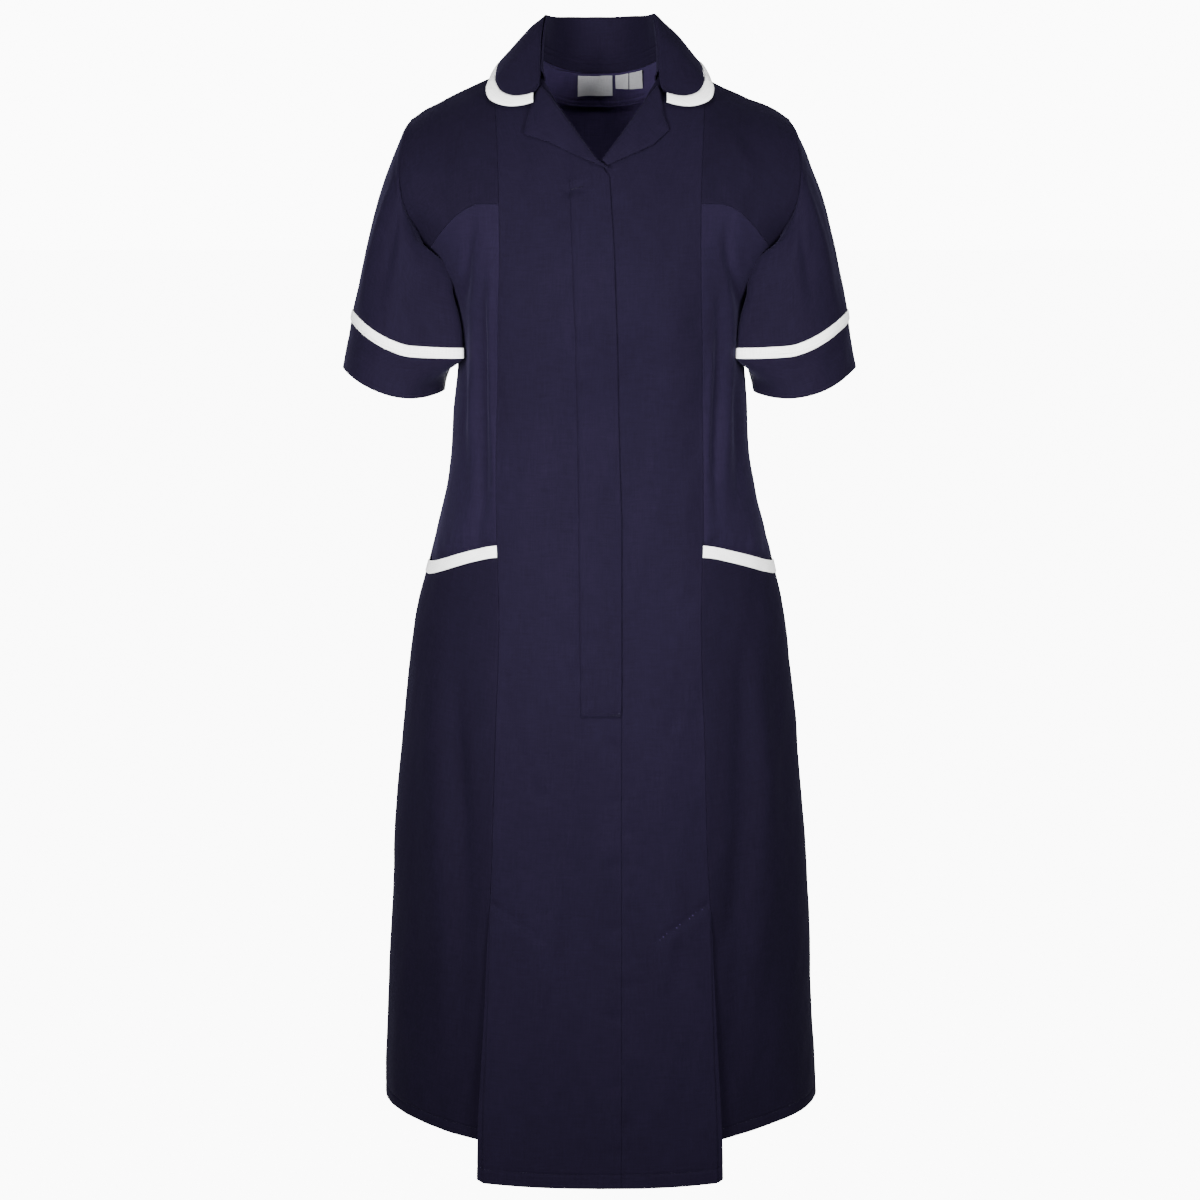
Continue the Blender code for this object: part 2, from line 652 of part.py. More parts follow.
# Collar
def collar_point(kind, station):
    """Point of a collar line at a fractional station; negative stations are on the right."""
    side = -1.0 if station < 0 else 1.0
    place = abs(station)
    low = min(int(place), len(COLLAR) - 2)
    values = []
    for axis in "xyz":
        around = []
        for k in (low - 1, low, low + 1, low + 2):
            mirrored = -1.0 if k < 0 and axis == "x" else 1.0
            ring = COLLAR[min(abs(k), len(COLLAR) - 1)]
            around.append(mirrored * getattr(ring, kind + "_" + axis))
        values.append(cubic(*around, place - low))
    return Vector((values[0] * side, values[1], values[2]))


def seam_point(station):
    """The neckline under the stand: round the back neck, over the shoulder and down the front."""
    side = -1.0 if station < 0 else 1.0
    place = abs(station)
    if place <= SHOULDER_STATION:
        x = NECK_HALF_WIDTH * math.sin(math.pi / 2 * place / SHOULDER_STATION)
        row = row_where(back_neck_height, lambda row: angle_at(x, row), BACK, 20, SHOULDER_ROW)
        point = skin(BACK, angle_at(x, row), row)
    else:
        row = SHOULDER_ROW - FRONT_SEAM_STEP * (place - SHOULDER_STATION)
        point = skin(FRONT, angle_at(row_value("neck", row), row), row)
    return Vector((point.x * side, point.y, point.z))


def grid_normals(rows_of_points):
    """Normals of a grid of columns, by its neighbours."""
    result = []
    last = len(rows_of_points) - 1
    for i, column in enumerate(rows_of_points):
        normals = []
        for j in range(len(column)):
            across = rows_of_points[min(i + 1, last)][j] - rows_of_points[max(i - 1, 0)][j]
            along = column[min(j + 1, len(column) - 1)] - column[max(j - 1, 0)]
            normals.append(across.cross(along).normalized())
        result.append(normals)
    return result


def outward_grid(points, away_from):
    """Columns with normals that point away from a place."""
    normals = grid_normals(points)
    flip = 1.0
    middle = len(points) // 2
    if normals[middle][0].dot(points[middle][0] - away_from) < 0:
        flip = -1.0
    return [[(p, n * flip) for p, n in zip(column, line)] for column, line in zip(points, normals)]


def collar_pieces(navy, white):
    """The leaf falls from the fold; the stand rises to it from the neckline; the trim edges it."""
    last = len(COLLAR) - 1
    stations = steps(-last, last, 4 * last)
    leaf, trim = [], []
    for station in stations:
        fold, edge = collar_point("fold", station), collar_point("leaf", station)
        outer = collar_point("trim", station)
        span = (edge - fold).length
        column = []
        for share in (0.0, 0.3, 0.65, 1.0):
            point = fold.lerp(edge, share)
            puff = 0.16 * span * math.sin(math.pi * share) * (1 - abs(station) / last) ** 0.5
            column.append(point + Vector((point.x, point.y, 0.05)).normalized() * puff)
        leaf.append(column)
        gap = (outer - edge).normalized() * SEAM_GAP * 1.5
        trim.append([edge + gap, outer])
    centre = Vector((0.0, 0.0, 0.0))
    add_wall("collar", outward_grid(leaf, centre), WALL, navy)
    add_wall("collar_trim", outward_grid(trim, centre), WALL, white)
    stand = []
    for station in steps(-STAND_END, STAND_END, 2 * STAND_END):
        seam, fold = seam_point(station), collar_point("fold", station)
        inward = Vector((-fold.x, -fold.y, 0.0)).normalized()
        top = fold + inward * 0.0024 - Vector((0, 0, 0.002))
        bottom = seam + Vector((0, 0, SEAM_GAP))
        stand.append([bottom, bottom.lerp(top, 0.5), top])
    add_wall("collar_stand", outward_grid(stand, centre), WALL, navy)


def build_dress():
    clear_scene()
    navy = material("navy_twill", NAVY, 0.85)
    white = material("white_trim", WHITE, 0.80)
    grey = material("grey_label", GREY, 0.75)
    front_panels(navy)
    placket_pieces(navy)
    shoulder_fronts(navy)
    side_fronts(navy)
    side_skirts(navy, white)
    pleat_underlays(navy)
    back_panels(navy)
    neck_pieces(navy, grey)
    lapels(navy)
    sleeves(navy, white)
    collar_pieces(navy, white)


build_dress()
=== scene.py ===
"""Nurse uniform dress: the finish of its cloth, trims, seams and stitches, in the frame's own metres.

The dress hangs in its worn shape with no wearer. +Z is up, the front faces -Y, and "right" and
"left" are the wearer's, so the right side is at -X. Every cloth piece is a thin shell on a smooth
skin, which runs through rings given in short tables, with its creases laid on one by one.
"""

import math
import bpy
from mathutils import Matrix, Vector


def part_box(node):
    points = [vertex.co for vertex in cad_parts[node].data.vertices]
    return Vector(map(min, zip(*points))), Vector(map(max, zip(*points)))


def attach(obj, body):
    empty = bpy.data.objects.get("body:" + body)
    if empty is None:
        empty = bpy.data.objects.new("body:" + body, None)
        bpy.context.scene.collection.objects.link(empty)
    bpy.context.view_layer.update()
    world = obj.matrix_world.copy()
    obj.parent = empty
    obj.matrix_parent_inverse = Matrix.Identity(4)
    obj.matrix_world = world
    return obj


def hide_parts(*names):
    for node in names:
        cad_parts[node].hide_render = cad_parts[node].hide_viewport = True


bl_info = {
    "name": "Nurse Uniform Dress",
    "version": (1, 0, 0),
    "blender": (4, 5, 0),
    "location": "View3D > Sidebar > Dress",
    "description": "Builds the cloth, trims and stitches of a nurse uniform dress",
    "category": "Add Mesh",
}

from collections import namedtuple

import bpy
import numpy as np
from mathutils import Vector

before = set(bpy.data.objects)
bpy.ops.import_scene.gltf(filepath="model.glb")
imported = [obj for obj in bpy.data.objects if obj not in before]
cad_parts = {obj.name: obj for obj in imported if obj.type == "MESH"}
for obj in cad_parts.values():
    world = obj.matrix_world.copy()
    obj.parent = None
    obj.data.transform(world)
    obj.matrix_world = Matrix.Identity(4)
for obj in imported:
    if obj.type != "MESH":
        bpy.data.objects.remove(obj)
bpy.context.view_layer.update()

FRONT, BACK = "front", "back"
SIDES = (("_left", 1.0), ("_right", -1.0))

# Heights and sizes that the frame gives
PLACKET_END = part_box("placket")[0][2]
PLEAT_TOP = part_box("pleat_left")[1][2]
POCKET_BACK_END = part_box("side_front_left")[0][2]
LABEL_LOW, LABEL_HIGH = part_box("neck_label")

# Rings of the body from below the hem to the shoulder line: heights at the centre and at the side or
# armhole, half width, depths of front and back at the centre and at the armhole, the angle that the
# ring turns through from the centre, and the places of the princess seam and of the neckline.
Ring = namedtuple(
    "Ring", "z_mid z_side half_width front front_side back back_side sweep princess neck")
BODY_TABLE = [
    Ring(-1.040, -1.008, 0.2115, 0.1590, 0.000, 0.156, 0.000, 90, 0.1150, -0.05),
    Ring(-1.000, -0.968, 0.2110, 0.1570, 0.000, 0.154, 0.000, 90, 0.1143, -0.05),
    Ring(-0.940, -0.911, 0.2088, 0.1530, 0.000, 0.152, 0.000, 90, 0.1118, -0.05),
    Ring(-0.870, -0.845, 0.2060, 0.1490, 0.000, 0.150, 0.000, 90, 0.1086, -0.05),
    Ring(-0.800, -0.779, 0.2032, 0.1450, 0.000, 0.148, 0.000, 90, 0.1060, -0.05),
    Ring(-0.730, -0.714, 0.1998, 0.1410, 0.000, 0.146, 0.000, 90, 0.1022, -0.05),
    Ring(-0.660, -0.650, 0.1955, 0.1370, 0.000, 0.143, 0.000, 90, 0.1000, -0.05),
    Ring(-0.600, -0.596, 0.1905, 0.1330, 0.000, 0.140, 0.000, 90, 0.0984, -0.05),
    Ring(-0.545, -0.543, 0.1840, 0.1290, 0.000, 0.137, 0.000, 90, 0.0964, -0.05),
    Ring(-0.495, -0.494, 0.1772, 0.1250, 0.000, 0.133, 0.000, 90, 0.0955, -0.05),
    Ring(-0.450, -0.450, 0.1668, 0.1190, 0.000, 0.126, 0.000, 90, 0.0962, -0.05),
    Ring(-0.410, -0.410, 0.1567, 0.1120, 0.000, 0.116, 0.000, 90, 0.0978, -0.05),
    Ring(-0.375, -0.375, 0.1480, 0.1050, 0.000, 0.106, 0.000, 90, 0.0982, -0.05),
    Ring(-0.340, -0.340, 0.1428, 0.1000, 0.000, 0.098, 0.000, 90, 0.0980, -0.05),
    Ring(-0.300, -0.300, 0.1405, 0.0990, 0.000, 0.093, 0.000, 90, 0.0976, -0.05),
    Ring(-0.260, -0.260, 0.1375, 0.1070, 0.000, 0.094, 0.000, 90, 0.0968, -0.05),
    Ring(-0.220, -0.220, 0.1382, 0.1180, 0.000, 0.098, 0.000, 90, 0.0961, -0.05),
    Ring(-0.187, -0.187, 0.1465, 0.1220, 0.000, 0.101, 0.000, 90, 0.0956, -0.05),
    Ring(-0.162, -0.169, 0.1570, 0.1210, 0.022, 0.103, 0.020, 80, 0.0953, -0.05),
    Ring(-0.137, -0.151, 0.1622, 0.1160, 0.037, 0.104, 0.034, 72, 0.0952, -0.05),
    Ring(-0.108, -0.130, 0.1710, 0.1080, 0.050, 0.104, 0.046, 66, 0.0952, -0.05),
    Ring(-0.073, -0.105, 0.1840, 0.0960, 0.058, 0.100, 0.054, 62, 0.0955, -0.0071),
    Ring(-0.034, -0.076, 0.1890, 0.0790, 0.056, 0.090, 0.052, 60, 0.0968, 0.0182),
    Ring(0.006, -0.049, 0.1872, 0.0570, 0.043, 0.072, 0.041, 60, 0.0985, 0.0412),
    Ring(0.041, -0.030, 0.1842, 0.0310, 0.022, 0.042, 0.021, 60, 0.0998, 0.0568),
    Ring(0.066, -0.021, 0.1825, 0.0000, 0.000, 0.000, 0.000, 60, 0.1005, 0.0600),
]
BODY = Ring(*(np.array(column) for column in zip(*BODY_TABLE)))
HEM_ROW, UNDERARM_ROW, SHOULDER_ROW = 1.0, 17.0, len(BODY_TABLE) - 1.0
UNDERARM_INDEX = int(UNDERARM_ROW)
V_FOOT_ROW, V_CENTRE_ROW = 20.96, 21.281      # where the two fronts' edges part, at their lines and the middle
CHEST_LOW, NECK_LOW = 16.0, 20.0              # lowest rows that the lapels and the back neck reach
MOUTH_ROWS = (7.0, 13.0)                      # rows that the pocket's mouth lies between
FULLNESS = 2.25          # 2 is an ellipse, more is squarer

# Lines down the front as (height, place across): the leading edge, and the placket's stitching.
LEADING = [(-0.60, 0.0205), (-0.40, 0.0205), (-0.328, 0.0182), (-0.241, 0.0164), (-0.148, 0.0134),
           (-0.097, 0.0101), (-0.070, 0.0082)]
STITCH_LINE = [(-0.60, -0.0180), (-0.436, -0.0196), (-0.328, -0.0209), (-0.219, -0.0230),
               (-0.101, -0.0277), (-0.070, -0.0285)]


def cubic(a, b, c, d, t):
    """Catmull-Rom value between b and c."""
    return b + 0.5 * t * (c - a + t * (2 * a - 5 * b + 4 * c - d + t * (3 * (b - c) + d - a)))


def ring_value(name, row):
    """A column of the body's table at fractional rows."""
    values = getattr(BODY, name)
    last = len(values) - 1
    row = np.asarray(row, float)
    low = np.clip(np.floor(row).astype(int), 0, last - 1)
    a, b, c, d = (values[np.clip(low + k, 0, last)] for k in (-1, 0, 1, 2))
    if name == "neck":
        return b + (c - b) * (row - low)
    return cubic(a, b, c, d, row - low)


def princess(row):
    return ring_value("princess", row)


def on_line(line, height):
    heights, places = zip(*line)
    return np.interp(height, heights, places)


def edge_angle(row):
    """Angle of the side seam or the armhole."""
    return np.radians(np.minimum(90.0, ring_value("sweep", row)))


def skin(face, angle, row):
    """Points of the smooth skin; angle is signed, from the centre towards the side."""
    sweep = edge_angle(row)
    share = np.abs(np.sin(angle)) / np.sin(sweep)
    across = np.sign(angle) * share ** (2 / FULLNESS)
    mid, side = ring_value(face, row), ring_value(face + "_side", row)
    foot = np.where(sweep < math.radians(89.999), np.maximum(np.cos(sweep), 0.0) ** (2 / FULLNESS), 0.0)
    crown = np.maximum(np.cos(angle), 0.0) ** (2 / FULLNESS)
    depth = side + (mid - side) * (crown - foot) / (1 - foot)
    bend = 1.0 + 0.5 * (np.degrees(sweep) - 60) / 30
    z_mid = ring_value("z_mid", row)
    z = z_mid + (ring_value("z_side", row) - z_mid) * np.abs(across) ** bend
    y = -depth if face == FRONT else depth
    return np.stack(np.broadcast_arrays(ring_value("half_width", row) * across, y, z), axis=-1)


def angle_at(x, row):
    sweep = edge_angle(row)
    share = np.minimum(1.0, np.abs(x) / ring_value("half_width", row))
    return np.sign(x) * np.arcsin(np.minimum(1.0, share ** (FULLNESS / 2) * np.sin(sweep)))


def row_where(height_of, angle_of, face, low, high, count):
    """Rows at which lines down the skin cross a curve of heights, by halving."""
    low, high = np.full(count, float(low)), np.full(count, float(high))
    for _ in range(36):
        middle = (low + high) / 2
        point = skin(face, angle_of(middle), middle)
        under = point[..., 2] < height_of(np.abs(point[..., 0]))
        low, high = np.where(under, middle, low), np.where(under, high, middle)
    return (low + high) / 2


def row_at(face, x, z, low=0.0):
    x, z = np.asarray(x, float), np.asarray(z, float)
    return row_where(lambda _: z, lambda row: angle_at(x, row), face, low, SHOULDER_ROW, x.shape)


def front_height(x, row):
    return skin(FRONT, angle_at(x, row), row)[..., 2]


def leading_x(row):
    """Edge of the right front: the leading edge, then the neckline above the foot of the V."""
    return np.minimum(-ring_value("neck", row), on_line(LEADING, front_height(0.01, row)))


def left_edge_x(row):
    return np.maximum(ring_value("neck", row), leading_x(row))


def stitch_x(row):
    return np.minimum(on_line(STITCH_LINE, front_height(0.02, row)), leading_x(row) - 0.010)


def as_angle(line):
    return lambda row: angle_at(line(row), row)


def upright(x):
    """The line straight down the skin at one place across."""
    return as_angle(lambda row: np.full(np.shape(row), x))


def crossing(height_of, face, low=NECK_LOW, high=SHOULDER_ROW):
    """The row, on any line of angles, at which it reaches a curve of heights."""
    return lambda line: row_where(height_of, line, face, low, high, 1)


def ramp(value, start, end):
    share = np.clip((value - start) / (end - start), 0.0, 1.0)
    return share * share * (3 - 2 * share)


def bust_seam_height(x):
    """Level from the princess seam, then falling to the armhole."""
    return -0.1005 - 0.0445 * np.clip((x - 0.112) / 0.0495, 0.0, 1.0) ** 1.8


def pocket_mouth_height(x):
    return -0.4225 - 0.023 * np.clip((x - 0.096) / 0.070, 0.0, 1.0) ** 1.4


NECK_HALF_WIDTH, BACK_NECK, POCKET_TRIM = 0.060, 0.0225, 0.0112


def back_neck_height(x):
    return BACK_NECK + 0.0149 * np.minimum(1.0, x / NECK_HALF_WIDTH) ** 2.5


def facing_height(x):
    return -0.0106 + 0.016 * (x / NECK_HALF_WIDTH) ** 3


# ---- Cloth shells ----

WALL = 0.0009            # cloth of a shown shell
SEAM_GAP = 0.0003        # between two pieces that meet at a seam
SEAM_ROUND = 0.0008      # radius that an edge rolls into its seam
EDGE_STEPS = (0.0, 0.0002, 0.0005, 0.0010, 0.0020)
FOLD_STEPS = EDGE_STEPS + (0.0032, 0.0041, 0.0047, 0.0053, 0.0059, 0.0070)
HEM_STEPS = EDGE_STEPS + (0.0050, 0.0080, 0.0094, 0.0101, 0.0108, 0.0118, 0.0129, 0.0136, 0.0143, 0.0158)

Crease = namedtuple("Crease", "x0 z0 x1 z1 width height")

# Soft folds of the front, as ends (x, z) seen from the front, half width and height; a trough is negative.
FRONT_CREASES = [
    Crease(-0.1215, -0.165, -0.1235, -0.400, 0.0060, 0.0030),
    Crease(-0.1110, -0.150, -0.1075, -0.420, 0.0042, -0.0022),
    Crease(-0.1035, -0.130, -0.1015, -0.400, 0.0040, 0.0018),
    Crease(-0.1190, -0.120, -0.1330, -0.205, 0.0048, -0.0026),
    Crease(-0.1300, -0.230, -0.1285, -0.395, 0.0045, -0.0022),
    Crease(-0.1120, -0.330, -0.1180, -0.440, 0.0050, -0.0022),
    Crease(0.1225, -0.150, 0.1195, -0.405, 0.0062, 0.0028),
    Crease(0.1105, -0.180, 0.1120, -0.420, 0.0044, -0.0024),
    Crease(0.1045, -0.220, 0.1030, -0.425, 0.0038, 0.0014),
    Crease(0.1180, -0.115, 0.1340, -0.215, 0.0050, -0.0026),
    Crease(0.1290, -0.260, 0.1310, -0.400, 0.0045, -0.0020),
    Crease(-0.060, -0.175, -0.066, -0.400, 0.0150, 0.0010),
    Crease(0.066, -0.150, 0.060, -0.390, 0.0160, 0.0011),
    Crease(-0.082, -0.595, -0.066, -0.628, 0.0050, -0.0010),
    Crease(-0.070, -0.640, -0.048, -0.662, 0.0060, -0.0009),
    Crease(0.078, -0.575, 0.060, -0.612, 0.0060, -0.0009),
    Crease(-0.150, -0.480, -0.158, -0.930, 0.0160, 0.0034),
    Crease(-0.132, -0.520, -0.134, -0.960, 0.0110, -0.0026),
    Crease(0.149, -0.500, 0.156, -0.900, 0.0150, 0.0034),
    Crease(0.131, -0.470, 0.136, -0.950, 0.0120, -0.0028),
    Crease(-0.045, -0.700, -0.052, -1.010, 0.0180, 0.0016),
    Crease(0.060, -0.690, 0.070, -1.000, 0.0200, 0.0016),
    Crease(-0.120, -0.020, -0.150, -0.105, 0.0090, 0.0014),
    Crease(0.122, -0.025, 0.150, -0.100, 0.0090, 0.0013),
]

BACK_CREASES = [
    Crease(-0.118, -0.120, -0.112, -0.420, 0.0070, 0.0030),
    Crease(-0.106, -0.160, -0.101, -0.400, 0.0050, -0.0024),
    Crease(0.120, -0.135, 0.114, -0.410, 0.0068, 0.0028),
    Crease(0.105, -0.180, 0.103, -0.420, 0.0050, -0.0024),
    Crease(-0.062, -0.230, 0.010, -0.262, 0.0080, -0.0018),
    Crease(-0.025, -0.285, 0.058, -0.262, 0.0085, -0.0018),
    Crease(-0.058, -0.318, 0.034, -0.330, 0.0075, -0.0015),
    Crease(-0.052, -0.020, -0.095, -0.140, 0.0140, 0.0018),
    Crease(0.054, -0.024, 0.092, -0.150, 0.0140, 0.0017),
    Crease(-0.048, -0.480, -0.062, -0.980, 0.0190, 0.0040),
    Crease(0.004, -0.560, 0.008, -1.000, 0.0170, -0.0034),
    Crease(0.060, -0.500, 0.072, -0.990, 0.0180, 0.0038),
    Crease(-0.140, -0.470, -0.152, -0.930, 0.0140, 0.0034),
    Crease(-0.118, -0.520, -0.124, -0.960, 0.0110, -0.0026),
    Crease(0.142, -0.480, 0.150, -0.940, 0.0140, 0.0034),
    Crease(0.119, -0.500, 0.126, -0.950, 0.0110, -0.0026),
]

# Short puckers across the placket's stitching and the centre seam: place across, height, size.
Pucker = namedtuple("Pucker", "x z width length height")
PUCKERS = [
    Pucker(-0.029, -0.0885, 0.0050, 0.0030, -0.0022), Pucker(-0.019, -0.0865, 0.0060, 0.0030, -0.0018),
    Pucker(-0.024, -0.0960, 0.0070, 0.0045, 0.0012), Pucker(-0.026, -0.0800, 0.0080, 0.0035, 0.0008),
    Pucker(-0.016, -0.232, 0.0100, 0.0080, -0.0011),
    Pucker(-0.018, -0.262, 0.0080, 0.0060, 0.0008), Pucker(-0.022, -0.305, 0.0090, 0.0070, -0.0010),
    Pucker(-0.017, -0.388, 0.0110, 0.0080, -0.0011), Pucker(-0.024, -0.402, 0.0070, 0.0060, 0.0008),
    Pucker(-0.020, -0.468, 0.0100, 0.0070, -0.0009), Pucker(-0.015, -0.512, 0.0120, 0.0090, -0.0012),
    Pucker(-0.021, -0.541, 0.0100, 0.0070, -0.0010), Pucker(-0.022, -0.560, 0.0070, 0.0050, 0.0008),
    Pucker(0.017, -0.168, 0.0060, 0.0090, -0.0007), Pucker(0.016, -0.352, 0.0060, 0.0100, -0.0008),
    Pucker(0.014, -0.610, 0.0080, 0.0060, -0.0010), Pucker(0.026, -0.634, 0.0070, 0.0055, 0.0008),
    Pucker(0.015, -0.661, 0.0090, 0.0060, -0.0011), Pucker(0.027, -0.690, 0.0080, 0.0060, -0.0009),
    Pucker(0.014, -0.722, 0.0090, 0.0065, -0.0011), Pucker(0.027, -0.752, 0.0080, 0.0055, 0.0008),
    Pucker(0.015, -0.781, 0.0090, 0.0060, -0.0011), Pucker(0.013, -0.812, 0.0080, 0.0060, -0.0010),
    Pucker(0.027, -0.835, 0.0080, 0.0060, -0.0010), Pucker(0.014, -0.866, 0.0090, 0.0060, -0.0011),
    Pucker(0.026, -0.905, 0.0080, 0.0060, 0.0008), Pucker(0.014, -0.931, 0.0090, 0.0060, -0.0010),
    Pucker(0.026, -0.968, 0.0080, 0.0060, -0.0009), Pucker(0.015, -0.995, 0.0080, 0.0055, -0.0009),
]


def crease_height(creases, x, z):
    """Sum of soft ridges and troughs that fade out at both ends and waver a little."""
    total = np.zeros(np.shape(x))
    for k, crease in enumerate(creases):
        run, rise = crease.x1 - crease.x0, crease.z1 - crease.z0
        length = math.hypot(run, rise)
        along = ((x - crease.x0) * run + (z - crease.z0) * rise) / length
        off = ((x - crease.x0) * rise - (z - crease.z0) * run) / length
        off = off + 0.35 * crease.width * np.sin(along * 6.0 / length + k)
        width = crease.width * (0.75 + 0.5 * np.clip(along / length, 0, 1))
        fade = ramp(along, -0.05 * length, 0.35 * length) * (1 - ramp(along, 0.62 * length, 1.05 * length))
        total += crease.height * np.exp(-(off / width) ** 2) * fade
    return total


def pucker_height(x, z):
    total = np.zeros(np.shape(x))
    for pucker in PUCKERS:
        total += pucker.height * np.exp(
            -((x - pucker.x) / pucker.width) ** 2 - ((z - pucker.z) / pucker.length) ** 2)
    return total


def noise_waves(seed, count, low, high):
    """Directions, phases and sizes of a smooth, seeded unevenness."""
    rng = np.random.default_rng(seed)
    waves = rng.uniform(low, high, count)
    turn = rng.normal(0.0, 0.45, count)
    lift = rng.uniform(-1.0, 1.0, count)
    steer = np.stack([np.cos(turn), lift * 0.8, np.sin(turn)], axis=-1) * (2 * math.pi / waves)[:, None]
    return steer, rng.uniform(0, 2 * math.pi, count), waves / waves.sum()


BROAD = noise_waves(11, 9, 0.070, 0.190)
CLOSE = noise_waves(23, 14, 0.016, 0.045)


def unevenness(points):
    """Broad slackness and closer small dents, a fraction of a millimetre each."""
    total = np.zeros(points.shape[:-1])
    for (steer, phase, share), size in ((BROAD, 0.0011), (CLOSE, 0.00028)):
        for k in range(len(phase)):
            total += size * share[k] * math.sqrt(len(phase)) * np.sin(points @ steer[k] + phase[k])
    return total


def unit(vectors):
    return vectors / np.maximum(np.linalg.norm(vectors, axis=-1, keepdims=True), 1e-12)


def grid_normals(grid, ring=False):
    if ring:
        across = np.roll(grid, -1, axis=0) - np.roll(grid, 1, axis=0)
    else:
        across = np.gradient(grid, axis=0)
    return unit(np.cross(across, np.gradient(grid, axis=1)))


def run_lengths(grid, axis):
    """Distance along one axis of a grid, from its start."""
    gaps = np.linalg.norm(np.diff(grid, axis=axis), axis=-1)
    start = np.zeros_like(np.take(gaps, [0], axis=axis))
    return np.concatenate([start, np.cumsum(gaps, axis=axis)], axis=axis)


def even_shares(length, spacing, low_steps=EDGE_STEPS, high_steps=EDGE_STEPS):
    """Shares along a length at even spacing, closer at the ends that roll into a seam."""
    low, high = list(low_steps), list(high_steps)
    inner = length - low[-1] - high[-1]
    count = max(2, int(round(inner / spacing)))
    middle = [low[-1] + inner * k / count for k in range(1, count)]
    places = low + middle + [length - place for place in high[::-1]]
    return np.array(places) / length


def rolled(distance, radius=SEAM_ROUND):
    """How far an edge drops as it rounds into its seam."""
    near = np.clip(1 - distance / radius, 0.0, 1.0)
    return -radius * (1 - np.sqrt(np.maximum(0.0, 1 - near ** 2)))


def panel_grid(face, left, right, bottom, top, spacing, edges="lrbt", corners=(), steps=None):
    """Skin points of a panel between two lines of angles and two of rows.

    left and right give an angle for a row; bottom and top are a row, or a function of the angle line
    that gives one. The points run at even distances both ways, with extra ones beside each seam.
    """
    def rows_of(end, shares):
        if callable(end):
            return np.array([float(np.ravel(end(lambda row, s=s: left(row) + (right(row) - left(row)) * s))[0])
                             for s in shares])
        return np.full(len(shares), float(end))

    coarse = np.linspace(0.0, 1.0, 21)
    low, high = rows_of(bottom, coarse), rows_of(top, coarse)

    def place(shares, downs):
        s, t = np.meshgrid(shares, downs, indexing="ij")
        start, end = np.interp(s, coarse, low), np.interp(s, coarse, high)
        row = start + (end - start) * t
        one, other = left(row), right(row)
        return skin(face, one + (other - one) * s, row), row

    draft, _ = place(np.linspace(0, 1, 41), np.linspace(0, 1, 161))
    widths = np.median(run_lengths(draft, 0), axis=1)
    heights = np.median(run_lengths(draft, 1), axis=0)
    near = {edge: (steps or {}).get(edge, EDGE_STEPS) if edge in edges else (0.0,) for edge in "lrbt"}
    across = even_shares(widths[-1], spacing, near["l"], near["r"])
    along = even_shares(heights[-1], spacing, near["b"], near["t"])
    shares = np.interp(across, widths / widths[-1], np.linspace(0, 1, 41))
    downs = np.interp(along, heights / heights[-1], np.linspace(0, 1, 161))
    for corner in corners:
        share = (corner - low[-1]) / (high[-1] - low[-1])
        nearest = 1 + int(np.argmin(np.abs(downs[1:-1] - share)))
        downs[nearest] = share
    grid, rows = place(shares, downs)
    return grid, rows


def edge_drop(grid, edges, radius=SEAM_ROUND):
    """The roll of every edge named in edges, by distance from it."""
    across, along = run_lengths(grid, 0), run_lengths(grid, 1)
    total = np.zeros(across.shape)
    distances = {"l": across, "r": across[-1:] - across, "b": along, "t": along[:, -1:] - along}
    for name, distance in distances.items():
        if name in edges:
            total = np.minimum(total, rolled(distance, radius))
    return total


def add_object(name, data):
    made = bpy.data.objects.new(name, data)
    bpy.context.scene.collection.objects.link(made)
    return made


def cloth_mesh(name, outer, inner, material, ring=False, flip=False):
    """A closed shell from an outer and an inner grid, with its cloth's UV in metres."""
    count, height = outer.shape[:2]
    size = count * height
    spans = count if ring else count - 1
    i = np.arange(spans)[:, None]
    j = np.arange(height - 1)[None, :]
    after = (i + 1) % count
    quad = np.stack(np.broadcast_arrays(
        i * height + j, after * height + j, after * height + j + 1, i * height + j + 1), axis=-1)
    quad = quad.reshape(-1, 4)
    faces = [quad, quad[:, ::-1] + size]
    ends = np.arange(spans)
    for j_end, turn in ((0, 1), (height - 1, -1)):
        one, other = ends * height + j_end, (ends + 1) % count * height + j_end
        faces.append(np.stack([one, one + size, other + size, other], axis=-1)[:, ::turn])
    if not ring:
        downs = np.arange(height - 1)
        for i_end, turn in ((0, 1), (count - 1, -1)):
            one, other = i_end * height + downs, i_end * height + downs + 1
            faces.append(np.stack([one, other, other + size, one + size], axis=-1)[:, ::turn])
    faces = np.concatenate(faces)
    if flip:
        faces = faces[:, ::-1]
    points = np.concatenate([outer.reshape(-1, 3), inner.reshape(-1, 3)])
    across, along = run_lengths(outer, 0), run_lengths(outer, 1)
    flat = np.stack([across - across[-1:] / 2, along + outer[:1, :1, 2]], axis=-1).reshape(-1, 2)
    flat = np.concatenate([flat, flat])

    mesh = bpy.data.meshes.new(name)
    mesh.vertices.add(len(points))
    mesh.vertices.foreach_set("co", points.astype(np.float32).ravel())
    mesh.loops.add(faces.size)
    mesh.loops.foreach_set("vertex_index", faces.astype(np.int32).ravel())
    mesh.polygons.add(len(faces))
    mesh.polygons.foreach_set("loop_start", np.arange(0, faces.size, 4, dtype=np.int32))
    uv = mesh.uv_layers.new(name="cloth")
    uv.data.foreach_set("uv", flat[faces.ravel()].astype(np.float32).ravel())
    mesh.update(calc_edges=True)
    mesh.materials.append(material)
    # The inner faces get a copy of the twill painted much lighter: painted light inside the dress.
    if material.name.startswith("Navy twill") and not material.name.endswith("collar"):
        mesh.materials.append(cloth_material("Navy twill, inside"))
        side_count = spans * (height - 1)
        mesh.polygons.foreach_set("material_index", (np.arange(len(faces)) // side_count == 1).astype(np.int32))
    mesh.shade_smooth()
    return add_object(name + "_cloth", mesh)


